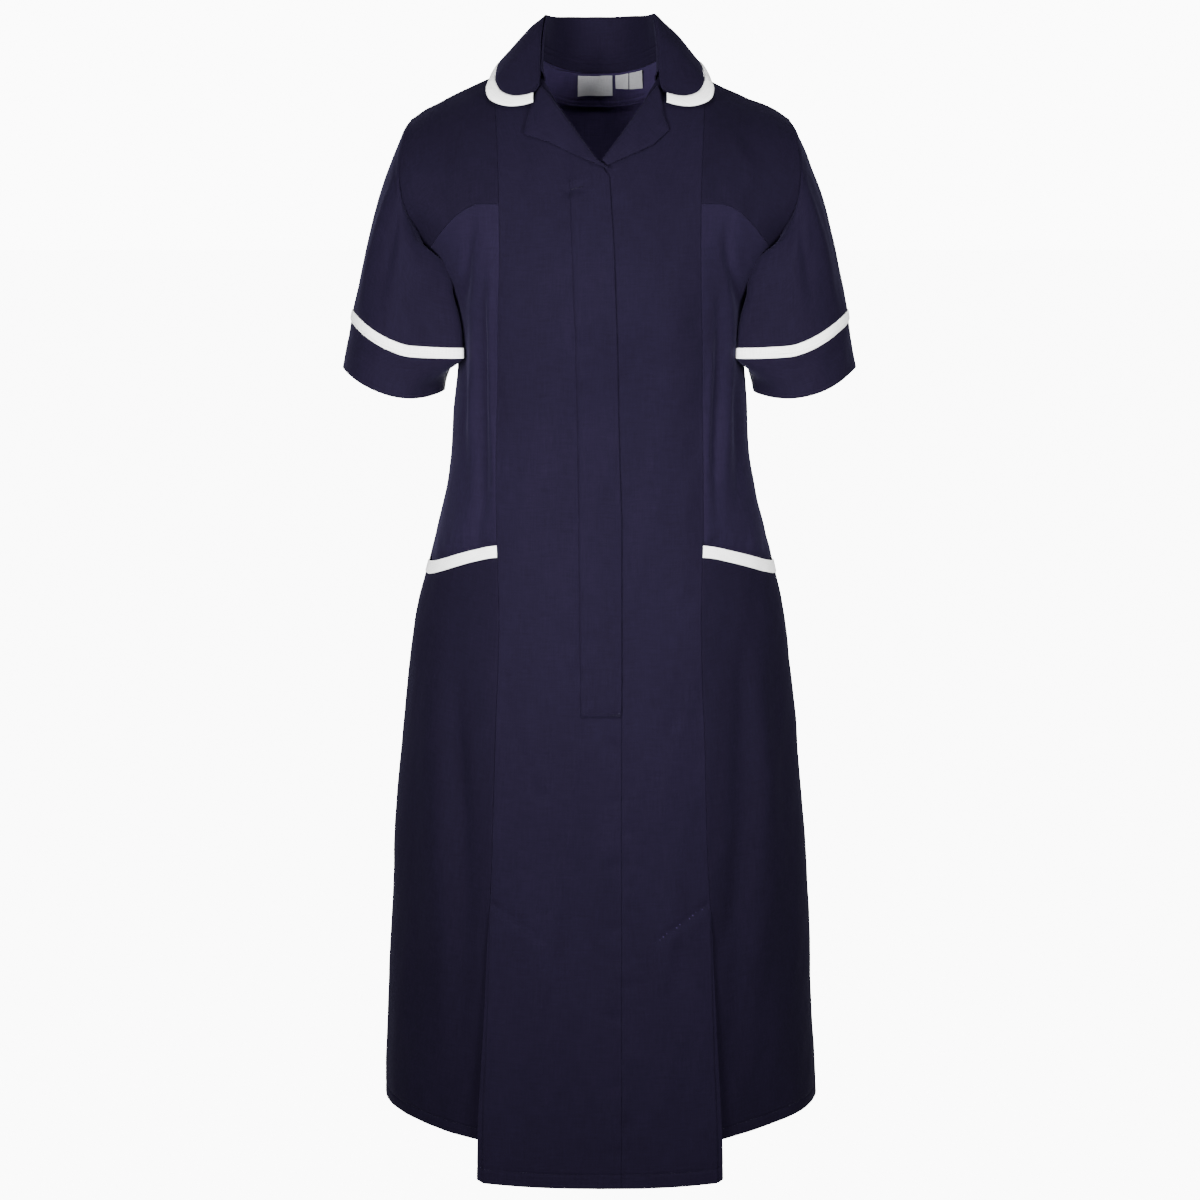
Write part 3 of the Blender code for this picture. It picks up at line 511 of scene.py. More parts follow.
SHOULDER_TIP, SHOULDER_REACH = (0.1835, 0.0, -0.0200), 0.014


def rounded_shoulder(points):
    """The shoulder's end gives way a little under the sleeve's seam, on every piece alike."""
    tip = np.stack(np.broadcast_arrays(
        np.sign(points[..., 0]) * SHOULDER_TIP[0], SHOULDER_TIP[1], SHOULDER_TIP[2]), axis=-1)
    off = points - tip
    near = np.exp(-np.einsum("...k,...k->...", off, off * (1.0, 0.35, 1.0)) / SHOULDER_REACH ** 2)
    sink = np.stack(np.broadcast_arrays(-0.0016 * np.sign(points[..., 0]), 0.0, -0.0028), axis=-1)
    return points + sink * near[..., None]


def shell(name, grid, normals, lift, material, wall=WALL, drop=0.0, ring=False):
    """Makes the shell of a node off its grid; drop rounds the outside only, so the wall thins at its seams."""
    lift = np.asarray(lift, float) + np.zeros(grid.shape[:2])
    drop = np.asarray(drop, float) + np.zeros(grid.shape[:2])
    outer = rounded_shoulder(grid + normals * (lift + drop)[..., None])
    inner = rounded_shoulder(grid + normals * (lift - wall)[..., None])
    turned = np.einsum("ijk,ijk->ij", grid_normals(grid, ring), normals).mean() < 0
    register_cloth(cloth_mesh(name, outer, inner, material, ring, flip=bool(turned)), name)


# ---- Pieces of the body ----

def side_ease(points):
    """Creases die out where front and back meet at the side and over the shoulder."""
    return ramp(np.abs(points[..., 1]), 0.004, 0.045)


def body_lift(face, points, cloth):
    """Height of the cloth's folds over the smooth skin."""
    x, z = points[..., 0], points[..., 2]
    creases = FRONT_CREASES if face == FRONT else BACK_CREASES
    folds = crease_height(creases, x, z) * side_ease(points)
    if face == FRONT:
        folds = folds + pucker_height(x, z)
    return folds * cloth.crease + unevenness(points) * cloth.unevenness


def outward(points, ring=False):
    normals = grid_normals(points, ring)
    spread = points * (1.0, 1.0, 0.0)
    if not ring and np.einsum("ijk,ijk->ij", normals, spread).mean() < 0:
        normals = -normals
    return normals


def mirrored(vectors, side):
    """Pieces are worked out on the left, where side is 1, and turned over for the right."""
    return vectors * (side, 1.0, 1.0)


def body_shell(name, face, left, right, bottom, top, material, side=1.0, edges="lrbt", extra=None,
               spacing=None, wall=WALL, corners=(), roll=SEAM_ROUND, steps=None):
    cloth = bpy.context.scene.dress_cloth
    grid, rows = panel_grid(face, left, right, bottom, top, spacing or cloth.spacing, edges, corners, steps)
    drop = edge_drop(grid, edges, roll)
    normals = outward(grid)
    at_side = np.abs(grid[..., 1]) < 0.0015
    normals[at_side] = unit(normals[at_side] * (1.0, 0.0, 1.0))
    points, normals = mirrored(grid, side), mirrored(normals, side)
    lift = body_lift(face, points, cloth)
    if extra is not None:
        lift = lift + extra(points, rows)
    shell(name, points, normals, lift, material, wall, drop)


def surface(face, x, z, extra=None):
    """Point and normal of the finished cloth at a place, for what is sewn on it."""
    cloth = bpy.context.scene.dress_cloth
    x, z = np.asarray(x, float), np.asarray(z, float)
    row = row_at(face, x, z)
    angle = angle_at(x, row)
    here = skin(face, angle, row)
    step = 1e-3
    around = skin(face, angle + step, row) - skin(face, angle - step, row)
    high = np.minimum(SHOULDER_ROW, row + step)
    up = skin(face, angle_at(x, high), high) - skin(face, angle_at(x, high - 2 * step), high - 2 * step)
    normal = unit(np.cross(around, up) * (1.0 if face == FRONT else -1.0))
    lift = body_lift(face, here, cloth)
    if extra is not None:
        lift = lift + extra(here, row)
    return here + normal * lift[..., None], normal


def centre_hem_row(x):
    """The centre panels hang a little lower than the sides, and lowest in the middle."""
    corner = np.clip((np.abs(x) - 0.1075) / 0.0080, 0, 1)
    return HEM_ROW - 0.625 - 0.30 * np.clip(np.abs(x) / 0.114, 0, 1.05) ** 1.5 + 0.13 * corner ** 2.5


def pleat_push(points, row, forward):
    """The pleat's edge stands forward; the side panel beside it falls back."""
    opening = ramp(-points[..., 2], -PLEAT_TOP, 1.0)
    near = np.maximum(0.0, 1.0 - np.abs(np.abs(points[..., 0]) - princess(row)) / 0.085)
    early = ramp(-points[..., 2], -PLEAT_TOP, -PLEAT_TOP + 0.030)
    return near ** 2 * (0.0026 * early + 0.0052 * opening if forward else -0.0018 * early - 0.0026 * opening)


def groove(distance, width=0.0011, depth=0.0007):
    """The dip that a row of stitches pulls into the cloth."""
    return -depth * np.exp(-(distance / width) ** 2)


HEM_DEPTH, SIDE_HEM_DEPTH = 0.0135, 0.0105
STAND_ROWS, FACING_ROWS = (0.0075, 0.0130), (0.0024, 0.0066)     # double rows inside the neck
TACK_HEIGHT = -0.0880    # of the tack at the top of the placket's stitching
PLEAT_STITCH = 0.050     # reach of the slanting stitches at the top of the pleat
PLEAT_SEAM = float(princess(5.0))       # place across of the seam that the pleat opens from


def centre_hem_height(x):
    return front_height(np.asarray(x, float), centre_hem_row(x))


def pleat_line_height(x):
    """The slanting stitches that hold the pleat's underlay, falling towards the centre."""
    return PLEAT_TOP - 0.001 - (PLEAT_SEAM - np.abs(x)) * 0.66


def centre_extra(points, row):
    """Pleat, hem stitching and the slanting stitches at the pleat's top."""
    x, z = points[..., 0], points[..., 2]
    lift = pleat_push(points, row, True)
    lift = lift + groove(z - centre_hem_height(x) - HEM_DEPTH)
    reach = PLEAT_SEAM - np.abs(x)
    held = ramp(reach, -0.004, 0.002) * (1 - ramp(reach, PLEAT_STITCH - 0.003, PLEAT_STITCH + 0.002))
    under = pleat_line_height(x) - z
    puffed = 0.0010 * ramp(under, -0.0010, 0.0030) * (1 - ramp(under, 0.006, 0.040))
    lift = lift + (groove(under, 0.0030, 0.0018) + puffed) * held
    below = (PLEAT_TOP - 0.012 - z) / (PLEAT_TOP - 0.012 + 1.0)
    fold = princess(row) - 0.0008 - 0.0046 * np.clip(below, 0.0, 1.0) ** 0.6
    return lift - 0.0014 * ramp(np.abs(x) - fold, -0.0004, 0.0004) * ramp(below, 0.0, 0.05)


def placket_extra(points, row):
    """The right front rises over the placket and dips along its stitching."""
    settings = bpy.context.scene.dress_placket
    x, z = points[..., 0], points[..., 2]
    stitch = on_line(STITCH_LINE, z)
    above = ramp(z, PLACKET_END - 0.001, PLACKET_END + 0.005)
    raised = above * ramp(x - stitch, -0.0010, 0.0045) * settings.raise_height
    across = np.exp(-((z - PLACKET_END - 0.004) / 0.0012) ** 2) * ramp(x - stitch, -0.001, 0.001)
    seam = groove(x - stitch) * above * (1 - ramp(z, -0.096, -0.090)) - 0.0004 * across
    return centre_extra(points, row) + raised + seam


def under_placket(row):
    """Above the placket's end the left front runs on beneath the right one."""
    beyond = ramp(front_height(0.01, row), PLACKET_END + 0.008, PLACKET_END + 0.020)
    return np.where(row < V_FOOT_ROW, left_edge_x(row) - 0.003 * beyond, left_edge_x(row))


def hem_row_on(angle_of):
    """Row at which a line of a centre panel meets its curved hem."""
    row = 0.4
    for _ in range(6):
        row = centre_hem_row(skin(FRONT, angle_of(np.float64(row)), row)[..., 0])
    return row


def build_fronts(context):
    navy = cloth_material("Navy twill")
    body_shell(
        "front_right", FRONT, as_angle(lambda row: -princess(row)), as_angle(leading_x), hem_row_on,
        SHOULDER_ROW, navy, extra=placket_extra, corners=(V_FOOT_ROW, V_CENTRE_ROW),
        steps={"l": FOLD_STEPS, "b": HEM_STEPS})
    body_shell(
        "front_left", FRONT, as_angle(under_placket), as_angle(princess), hem_row_on, SHOULDER_ROW, navy,
        extra=centre_extra, corners=(V_FOOT_ROW, V_CENTRE_ROW), steps={"r": FOLD_STEPS, "b": HEM_STEPS})


def build_placket(context):
    navy = cloth_material("Navy twill")
    low = float(row_at(FRONT, 0.0, PLACKET_END))
    body_shell("placket", FRONT, as_angle(stitch_x), as_angle(lambda row: leading_x(row) - 0.0007), low,
               V_FOOT_ROW, navy, extra=lambda points, row: 0.0009, wall=0.0006, edges="r", roll=0.0003)
    body_shell("underlap", FRONT, as_angle(stitch_x), as_angle(lambda row: leading_x(row) + 0.012), low,
               V_FOOT_ROW, navy, extra=lambda points, row: -0.0030, edges="")


def behind_pocket(points, row):
    """The side front drops behind the pocket's mouth and stays there."""
    x = np.abs(points[..., 0])
    middle = ramp(x, 0.100, 0.115) * (1 - ramp(x, 0.135, 0.160))
    reach = 0.006 + 0.016 * middle
    below = (pocket_mouth_height(x) + reach - points[..., 2]) / reach
    return -0.0030 * ramp(below, 0.0, 1.0) - 0.0012 * middle * ramp(below, 0.0, 1.0)


def seam_shadow(points, row):
    """Gathered unevenness just above the pocket's mouth."""
    x, z = points[..., 0], points[..., 2]
    above = z - pocket_mouth_height(np.abs(x))
    ripple = np.sin(x * 520.0 + 1.3) * np.sin(x * 230.0)
    return 0.0007 * ripple * ramp(above, 0.0, 0.006) * (1 - ramp(above, 0.012, 0.030))


def build_side_fronts(context):
    # The shoulder fronts get a copy of the twill painted darker, a painted shade, and the side fronts one painted
    # lighter, a painted light.
    painted_shade_yoke, painted_light_bias = cloth_material("Navy twill, yoke"), cloth_material("Navy twill, bias")
    first = as_angle(princess)
    for name, side in SIDES:
        body_shell(
            "shoulder_front" + name, FRONT, first, edge_angle,
            crossing(bust_seam_height, FRONT, UNDERARM_ROW), SHOULDER_ROW, painted_shade_yoke, side)
        low = float(row_at(FRONT, 0.12, POCKET_BACK_END))
        body_shell(
            "side_front" + name, FRONT, first, edge_angle, low,
            crossing(bust_seam_height, FRONT, UNDERARM_ROW - 2), painted_light_bias, side,
            extra=lambda points, row: behind_pocket(points, row) + seam_shadow(points, row),
            corners=(UNDERARM_ROW,))


def hem_height(face, x):
    """Height of the side panels' and the back's hem."""
    return skin(face, angle_at(x, np.full(np.shape(x), HEM_ROW)), HEM_ROW)[..., 2]


def side_hem_extra(points, row):
    above = points[..., 2] - hem_height(FRONT, points[..., 0])
    return pleat_push(points, row, False) + groove(above - SIDE_HEM_DEPTH)


def build_side_skirts(context):
    # The side skirts get a copy of the twill painted darker: painted shade on the lower sides.
    navy, white = cloth_material("Navy twill, skirt"), trim_material("White trim")
    first = as_angle(princess)
    mouth = crossing(pocket_mouth_height, FRONT, *MOUTH_ROWS)
    seam = crossing(lambda x: pocket_mouth_height(x) - POCKET_TRIM, FRONT, *MOUTH_ROWS)
    for name, side in SIDES:
        body_shell("side_skirt" + name, FRONT, first, edge_angle, HEM_ROW, mouth, navy, side,
                   extra=side_hem_extra, steps={"b": HEM_STEPS})
        body_shell("pocket_trim" + name, FRONT, first, edge_angle, seam, mouth, white, side,
                   extra=lambda points, row: 0.0010, wall=0.0009, spacing=0.0025, roll=0.0007)


def build_pleats(context):
    # The underlay's twill is a copy painted darker: painted shade inside the pleat.
    navy = cloth_material("Navy twill, underlay")
    top = float(row_at(FRONT, 0.105, PLEAT_TOP))
    for name, side in SIDES:
        body_shell(
            "pleat" + name, FRONT, as_angle(lambda row: princess(row) - 0.022),
            as_angle(lambda row: princess(row) + 0.022), HEM_ROW + 0.06, top, navy, side,
            extra=lambda points, row: -0.0060, edges="b")


def back_hem_extra(points, row):
    return groove(points[..., 2] - hem_height(BACK, points[..., 0]) - SIDE_HEM_DEPTH)


def build_backs(context):
    navy = cloth_material("Navy twill")

    def neck_top(line):
        top = crossing(back_neck_height, BACK)(line)
        x = np.abs(skin(BACK, line(top), top)[..., 0])
        return np.where(x < NECK_HALF_WIDTH - SEAM_GAP, top, SHOULDER_ROW)

    body_shell("back", BACK, as_angle(lambda row: -princess(row)), as_angle(princess), HEM_ROW, neck_top, navy,
               extra=back_hem_extra, steps={"b": HEM_STEPS})
    for name, side in SIDES:
        body_shell("side_back" + name, BACK, as_angle(princess), edge_angle, HEM_ROW, SHOULDER_ROW, navy, side,
                   extra=back_hem_extra, corners=(UNDERARM_ROW,), steps={"b": HEM_STEPS})


# ---- Neck, lapels, sleeves and collar ----

def build_neck(context):
    """The half-moon facing inside the back neck, and the bare labels on it."""
    # The facing's twill is a copy painted lighter: painted light inside the back neck.
    navy, grey = cloth_material("Navy twill, facing"), label_material("Grey label")

    def ends(row):
        return 0.597 * princess(row)

    def seam_lines(points, row):
        down = points[..., 2] - facing_height(np.abs(points[..., 0]))
        return -0.0036 - sum(groove(down - place, 0.0008, 0.0006) for place in FACING_ROWS)

    body_shell(
        "neck_facing", BACK, as_angle(lambda row: -ends(row)), as_angle(ends), crossing(facing_height, BACK),
        crossing(lambda x: back_neck_height(x) - SEAM_GAP, BACK), navy, extra=seam_lines, spacing=0.0009,
        wall=0.0010, edges="")
    for name, left, right, length in (("neck_label", LABEL_LOW[0], LABEL_HIGH[0], 0.0205),
                                      ("size_tab", 0.0163, 0.0288, 0.0135),
                                      ("length_tab", 0.0298, 0.0423, 0.0135)):
        end = BACK_NECK - length

        def curl(points, row, end=end):
            free = 1 - ramp(points[..., 2], end, end + 0.012)
            return -0.0062 - 0.0008 * free * np.cos(points[..., 0] * 210.0)

        body_shell(
            name, BACK, upright(left), upright(right), crossing(lambda x, end=end: x * 0 + end, BACK),
            crossing(lambda x: back_neck_height(x) - 0.001, BACK), grey, extra=curl, spacing=0.0012, wall=0.0007,
            roll=0.0003)


LapelRow = namedtuple("LapelRow", "roll_x roll_z edge_x edge_z")
RIGHT_LAPEL = [
    LapelRow(0.0550, 0.0080, 0.0622, -0.0030),
    LapelRow(0.0478, 0.0010, 0.0669, -0.0181),
    LapelRow(0.0395, -0.0105, 0.0714, -0.0375),
    LapelRow(0.0305, -0.0225, 0.0479, -0.0444),
    LapelRow(0.0210, -0.0350, 0.0311, -0.0523),
    LapelRow(0.0120, -0.0475, 0.0150, -0.0604),
    LapelRow(0.0030, -0.0600, 0.0032, -0.0654),
    LapelRow(-0.0070, -0.0694, -0.0078, -0.0704),
]
LEFT_LAPEL = [
    LapelRow(0.0535, 0.0080, 0.0580, -0.0090),
    LapelRow(0.0465, 0.0000, 0.0598, -0.0200),
    LapelRow(0.0385, -0.0110, 0.0648, -0.0330),
    LapelRow(0.0300, -0.0225, 0.0500, -0.0465),
    LapelRow(0.0205, -0.0350, 0.0360, -0.0530),
    LapelRow(0.0110, -0.0475, 0.0205, -0.0595),
    LapelRow(0.0010, -0.0605, 0.0070, -0.0655),
]


def build_lapels(context):
    """Each rever turns over its roll line in a small round and lies slack on the front."""
    cloth = context.scene.dress_cloth
    navy = cloth_material("Navy twill, collar")
    for name, side, rows in (("lapel_right", -1.0, RIGHT_LAPEL), ("lapel_left", 1.0, LEFT_LAPEL)):
        table = LapelRow(*(np.array(column) for column in zip(*rows)))
        downs = np.linspace(0.0, 1.0, 61)
        shares = np.array(even_shares(0.030, 0.0016))
        s, t = np.meshgrid(shares, downs * (len(rows) - 1), indexing="ij")
        stations = np.arange(len(rows))
        roll_x, roll_z, edge_x, edge_z = (np.interp(t, stations, column) for column in table)
        x, z = roll_x + (edge_x - roll_x) * s, roll_z + (edge_z - roll_z) * s
        row = row_at(FRONT, x, z, CHEST_LOW)
        grid = skin(FRONT, angle_at(x, row), row)
        normals = outward(grid)
        grid, normals = mirrored(grid, side), mirrored(normals, side)
        reach = run_lengths(grid, 0)
        width = reach[-1:]
        turn = np.clip(reach / 0.0022, 0.0, 1.0)
        lie = 0.0012 + 0.0022 * np.sqrt(1 - (1 - turn) ** 2)
        share = np.clip(reach / np.maximum(width, 1e-4), 0, 1)
        slack = 0.0020 * np.sin(np.pi * share) * ramp(width, 0.004, 0.020)
        dent = 0.0006 * np.sin(grid[..., 0] * 95.0 + grid[..., 2] * 60.0 + side)
        over = 0.0030 * ramp(-grid[..., 2], 0.050, 0.062) if name == "lapel_right" else 0.0
        lift = body_lift(FRONT, grid, cloth) + lie + slack + dent * turn + over
        drop = edge_drop(grid, "rbt", 0.0007)
        shell(name, grid, normals, lift, navy, 0.0010, drop)


SleeveRing = namedtuple("SleeveRing", "x y z half_width tilt half_depth drop")
SLEEVE = [
    SleeveRing(0.1842, -0.002, -0.1515, 0.0515, 50, 0.070, 0.002),
    SleeveRing(0.1898, -0.003, -0.2205, 0.0503, 19.5, 0.065, 0.012),
    SleeveRing(0.1906, -0.003, -0.2310, 0.0503, 18.5, 0.0645, 0.0125),
    SleeveRing(0.1978, -0.004, -0.2710, 0.0498, 13.0, 0.062, 0.0125),
]

# Sleeve folds: turn round the sleeve in degrees (0 outside, 90 front, 180 inside, 270 back) at the
# top and at the foot, first and last ring, half width, height.
SleeveFold = namedtuple("SleeveFold", "top foot first last width height")
LEFT_FOLDS = [
    SleeveFold(58, 40, 0.25, 1.95, 9, 0.0024), SleeveFold(83, 70, 0.20, 1.70, 8, -0.0022),
    SleeveFold(108, 118, 0.15, 1.60, 9, 0.0022), SleeveFold(132, 138, 0.10, 1.40, 7, -0.0026),
    SleeveFold(20, 12, 0.35, 1.90, 10, -0.0014), SleeveFold(228, 236, 0.12, 1.50, 9, -0.0024),
    SleeveFold(256, 258, 0.15, 1.80, 10, 0.0022), SleeveFold(290, 300, 0.20, 1.90, 10, -0.0020),
    SleeveFold(325, 330, 0.30, 1.90, 11, 0.0016), SleeveFold(100, 88, 2.9, 4.4, 12, -0.0012),
]
RIGHT_FOLDS = [
    SleeveFold(50, 34, 0.30, 1.95, 10, 0.0026), SleeveFold(78, 60, 0.25, 1.80, 8, -0.0020),
    SleeveFold(100, 104, 0.12, 1.50, 9, 0.0018), SleeveFold(128, 126, 0.08, 1.50, 8, -0.0028),
    SleeveFold(14, 4, 0.40, 1.90, 10, -0.0012), SleeveFold(232, 240, 0.12, 1.50, 9, -0.0024),
    SleeveFold(262, 264, 0.15, 1.80, 10, 0.0022), SleeveFold(296, 304, 0.20, 1.90, 10, -0.0020),
    SleeveFold(332, 336, 0.30, 1.90, 11, 0.0015), SleeveFold(84, 76, 2.9, 4.4, 12, -0.0012),
]


def armhole():
    """Points and normals round the left armhole: over the shoulder, down the front, up the back."""
    down = np.linspace(SHOULDER_ROW, UNDERARM_ROW, 57)
    rows = np.concatenate([down, down[-2:0:-1]])
    front = np.arange(len(rows)) < len(down)
    angle = edge_angle(rows)
    points = np.where(front[:, None], skin(FRONT, angle, rows), skin(BACK, angle, rows))
    step = 2e-3
    inner = np.where(front[:, None], skin(FRONT, angle - step, rows), skin(BACK, angle - step, rows))
    along = unit(np.roll(points, -1, axis=0) - np.roll(points, 1, axis=0))
    normals = unit(np.cross(along, inner - points))
    normals = np.where((normals @ np.array([1.0, 0.0, 0.6]))[:, None] < 0, -normals, normals)
    return points, normals, along


def sleeve_ring_points(ring, turn):
    tilt = math.radians(ring.tilt)
    out = np.cos(turn) * ring.half_width
    return np.stack([ring.x + out * math.cos(tilt), ring.y - ring.half_depth * np.sin(turn),
                     ring.z + out * math.sin(tilt) - ring.drop * np.sin(turn) ** 2], axis=-1)


def sleeve_stations():
    edges, normals, along = armhole()
    lengths = np.linalg.norm(np.roll(edges, -1, axis=0) - edges, axis=-1)
    turns = 2 * math.pi * np.concatenate([[0.0], np.cumsum(lengths)[:-1]]) / lengths.sum()
    out = unit(np.cross(normals, along))
    out = np.where((out @ np.array([1.0, 0.0, -0.4]))[:, None] < 0, -out, out)
    beside = 0.0012 * ramp(-edges[:, 2], 0.10, 0.16)
    starts = edges + out * 0.0004 + normals * beside[:, None]
    rings = [sleeve_ring_points(ring, turns) for ring in SLEEVE]
    stations = [2 * starts - rings[0], starts] + rings
    stations.append(2 * stations[-1] - stations[-2])
    return np.stack(stations), turns


def sleeve_grid(stations, rings):
    low = np.minimum(rings.astype(int), len(SLEEVE) - 1)
    part = (rings - low)[None, :, None]
    around = [np.swapaxes(stations[low + k], 0, 1) for k in range(4)]
    return cubic(*around, part)


def fold_height(folds, turns, rings):
    t, r = np.meshgrid(np.degrees(turns), rings, indexing="ij")
    total = np.zeros(t.shape)
    for fold in folds:
        share = np.clip((r - fold.first) / (fold.last - fold.first), 0.0, 1.0)
        middle = fold.top + (fold.foot - fold.top) * share
        off = (t - middle + 180.0) % 360.0 - 180.0
        fade = np.sin(math.pi * share) ** 0.7
        total += fold.height * np.exp(-(off / (fold.width * (0.8 + 0.4 * share))) ** 2) * fade
    return total


def body_side(y, z):
    """Half width of the body below the armhole at a depth and a height."""
    rows = np.interp(-z, -BODY.z_side[UNDERARM_INDEX::-1], np.arange(UNDERARM_INDEX, -1, -1))
    depth = np.where(y < 0, ring_value("front", rows), ring_value("back", rows))
    share = np.clip(1 - np.clip(np.abs(y) / depth, 0, 1) ** FULLNESS, 0, 1)
    return ring_value("half_width", rows) * share ** (1 / FULLNESS)


def press_to_body(grid, turns, rings):
    """The inside of the sleeve hangs against the side of the body, a little clear of it."""
    near = 1 - ramp(np.abs(turns - math.pi), 0.75, 1.45)
    weight = near[:, None] * (ramp(rings, 0.20, 0.60) * (1 - ramp(rings, 2.95, 3.8)))[None, :]
    pressed = body_side(grid[..., 1], grid[..., 2]) + 0.0024
    beside = np.minimum(grid[..., 0], pressed)
    moved = grid.copy()
    moved[..., 0] += (beside - grid[..., 0]) * weight
    return moved, weight


def build_sleeves(context):
    cloth = context.scene.dress_cloth
    navy, white = cloth_material("Navy twill, sleeve"), trim_material("White trim")
    stations, turns = sleeve_stations()
    spans = (("sleeve", 0.0, 2.0, 56, navy), ("sleeve_trim", 2.0, 3.0, 9, white), ("cuff", 3.0, 4.0, 20, navy))
    for suffix, side in SIDES:
        folds = LEFT_FOLDS if side > 0 else RIGHT_FOLDS
        for name, low, high, count, material in spans:
            rings = np.linspace(low, high, count)
            ends = np.array([0.01, 0.03]) * (high - low)
            rings = np.unique(np.concatenate([rings, low + ends, high - ends]))
            rings[-1] = min(rings[-1], 3.99999)
            grid, pressed = press_to_body(sleeve_grid(stations, rings), turns, rings)
            normals = grid_normals(grid, ring=True)
            middle = np.array([SLEEVE[1].x, 0.0, 0.0])
            if np.einsum("ijk,ijk->ij", normals, (grid - middle) * (1.0, 1.0, 0.0)).mean() < 0:
                normals = -normals
            grid, normals = mirrored(grid, side), mirrored(normals, side)
            lift = fold_height(folds, turns, rings) * cloth.crease + unevenness(grid) * cloth.unevenness
            lift = lift * ramp(rings, 0.0, 0.35)[None, :] * (1 - 0.85 * pressed)
            along = run_lengths(grid, 1)
            if name == "sleeve":
                lift = lift + 0.0010 * np.exp(-((along - 0.008) / 0.006) ** 2)
            if name == "sleeve_trim":
                lift = lift + 0.0009
            if name == "cuff":
                lift = lift + 0.0003 + groove(along[:, -1:] - along - 0.0300)
            drop = edge_drop(grid, "bt", 0.0008)
            shell(name + suffix, grid, normals, lift, material, WALL, drop, ring=True)


CollarStation = namedtuple(
    "CollarStation", "fold_x fold_y fold_z leaf_x leaf_y leaf_z trim_x trim_y trim_z")
COLLAR = [
    CollarStation(0.000, 0.058, 0.0740, 0.000, 0.083, 0.0270, 0.0000, 0.086, 0.0165),
    CollarStation(0.029, 0.051, 0.0745, 0.048, 0.077, 0.0280, 0.0510, 0.081, 0.0180),
    CollarStation(0.047, 0.030, 0.0755, 0.079, 0.050, 0.0310, 0.0845, 0.054, 0.0215),
    CollarStation(0.0535, 0.004, 0.0760, 0.0950, 0.012, 0.0325, 0.1000, 0.014, 0.0235),
    CollarStation(0.0565, -0.016, 0.0600, 0.0995, -0.020, 0.0185, 0.1065, -0.024, 0.0130),
    CollarStation(0.0575, -0.031, 0.0400, 0.0980, -0.033, 0.0110, 0.1080, -0.039, 0.0045),
    CollarStation(0.0578, -0.042, 0.0250, 0.0932, -0.042, 0.0042, 0.1035, -0.048, -0.0040),
    CollarStation(0.0583, -0.049, 0.0150, 0.0830, -0.049, 0.0004, 0.0900, -0.054, -0.0092),
    CollarStation(0.0597, -0.052, 0.0095, 0.0728, -0.053, 0.0006, 0.0752, -0.058, -0.0090),
    CollarStation(0.0615, -0.055, 0.0060, 0.0632, -0.056, 0.0030, 0.0632, -0.061, -0.0060),
]
STAND_END, SHOULDER_STATION, FRONT_SEAM_STEP = 6.0, 3.0, 0.4
FOLD_RADIUS = 0.0013     # of the leaf's roll over the stand
STAND_INSET = 0.0024     # from the roll to the top of the stand


def collar_line(kind, stations):
    """Points of a collar line at fractional stations; negative ones are on the right."""
    place = np.abs(stations)
    low = np.minimum(place.astype(int), len(COLLAR) - 2)
    axes = []
    for axis in "xyz":
        values = np.array([getattr(ring, kind + "_" + axis) for ring in COLLAR])
        around = []
        for k in (-1, 0, 1, 2):
            index = low + k
            found = values[np.minimum(np.abs(index), len(COLLAR) - 1)]
            around.append(np.where((index < 0) & (axis == "x"), -found, found))
        axes.append(cubic(*around, place - low))
    points = np.stack(axes, axis=-1)
    points[:, 0] *= np.where(stations < 0, -1.0, 1.0)
    return points


def neck_seam(stations):
    """The neckline under the stand: round the back neck, over the shoulder and down the front."""
    place = np.abs(stations)
    x = NECK_HALF_WIDTH * np.sin(math.pi / 2 * np.minimum(place, SHOULDER_STATION) / SHOULDER_STATION)
    row = row_where(back_neck_height, lambda row: angle_at(x, row), BACK, NECK_LOW, SHOULDER_ROW, x.shape)
    back = skin(BACK, angle_at(x, row), row)
    row = SHOULDER_ROW - FRONT_SEAM_STEP * np.maximum(0.0, place - SHOULDER_STATION)
    front = skin(FRONT, angle_at(ring_value("neck", row), row), row)
    points = np.where((place <= SHOULDER_STATION)[:, None], back, front)
    points[:, 0] *= np.where(stations < 0, -1.0, 1.0)
    return points


def towards_neck(points):
    return unit(points * (-1.0, -1.0, 0.0))


def away(points):
    """Normals of a grid that point away from the middle of the neck."""
    normals = grid_normals(points)
    if np.einsum("ijk,ijk->ij", normals, points * (1.0, 1.0, 0.3)).mean() < 0:
        normals = -normals
    return normals


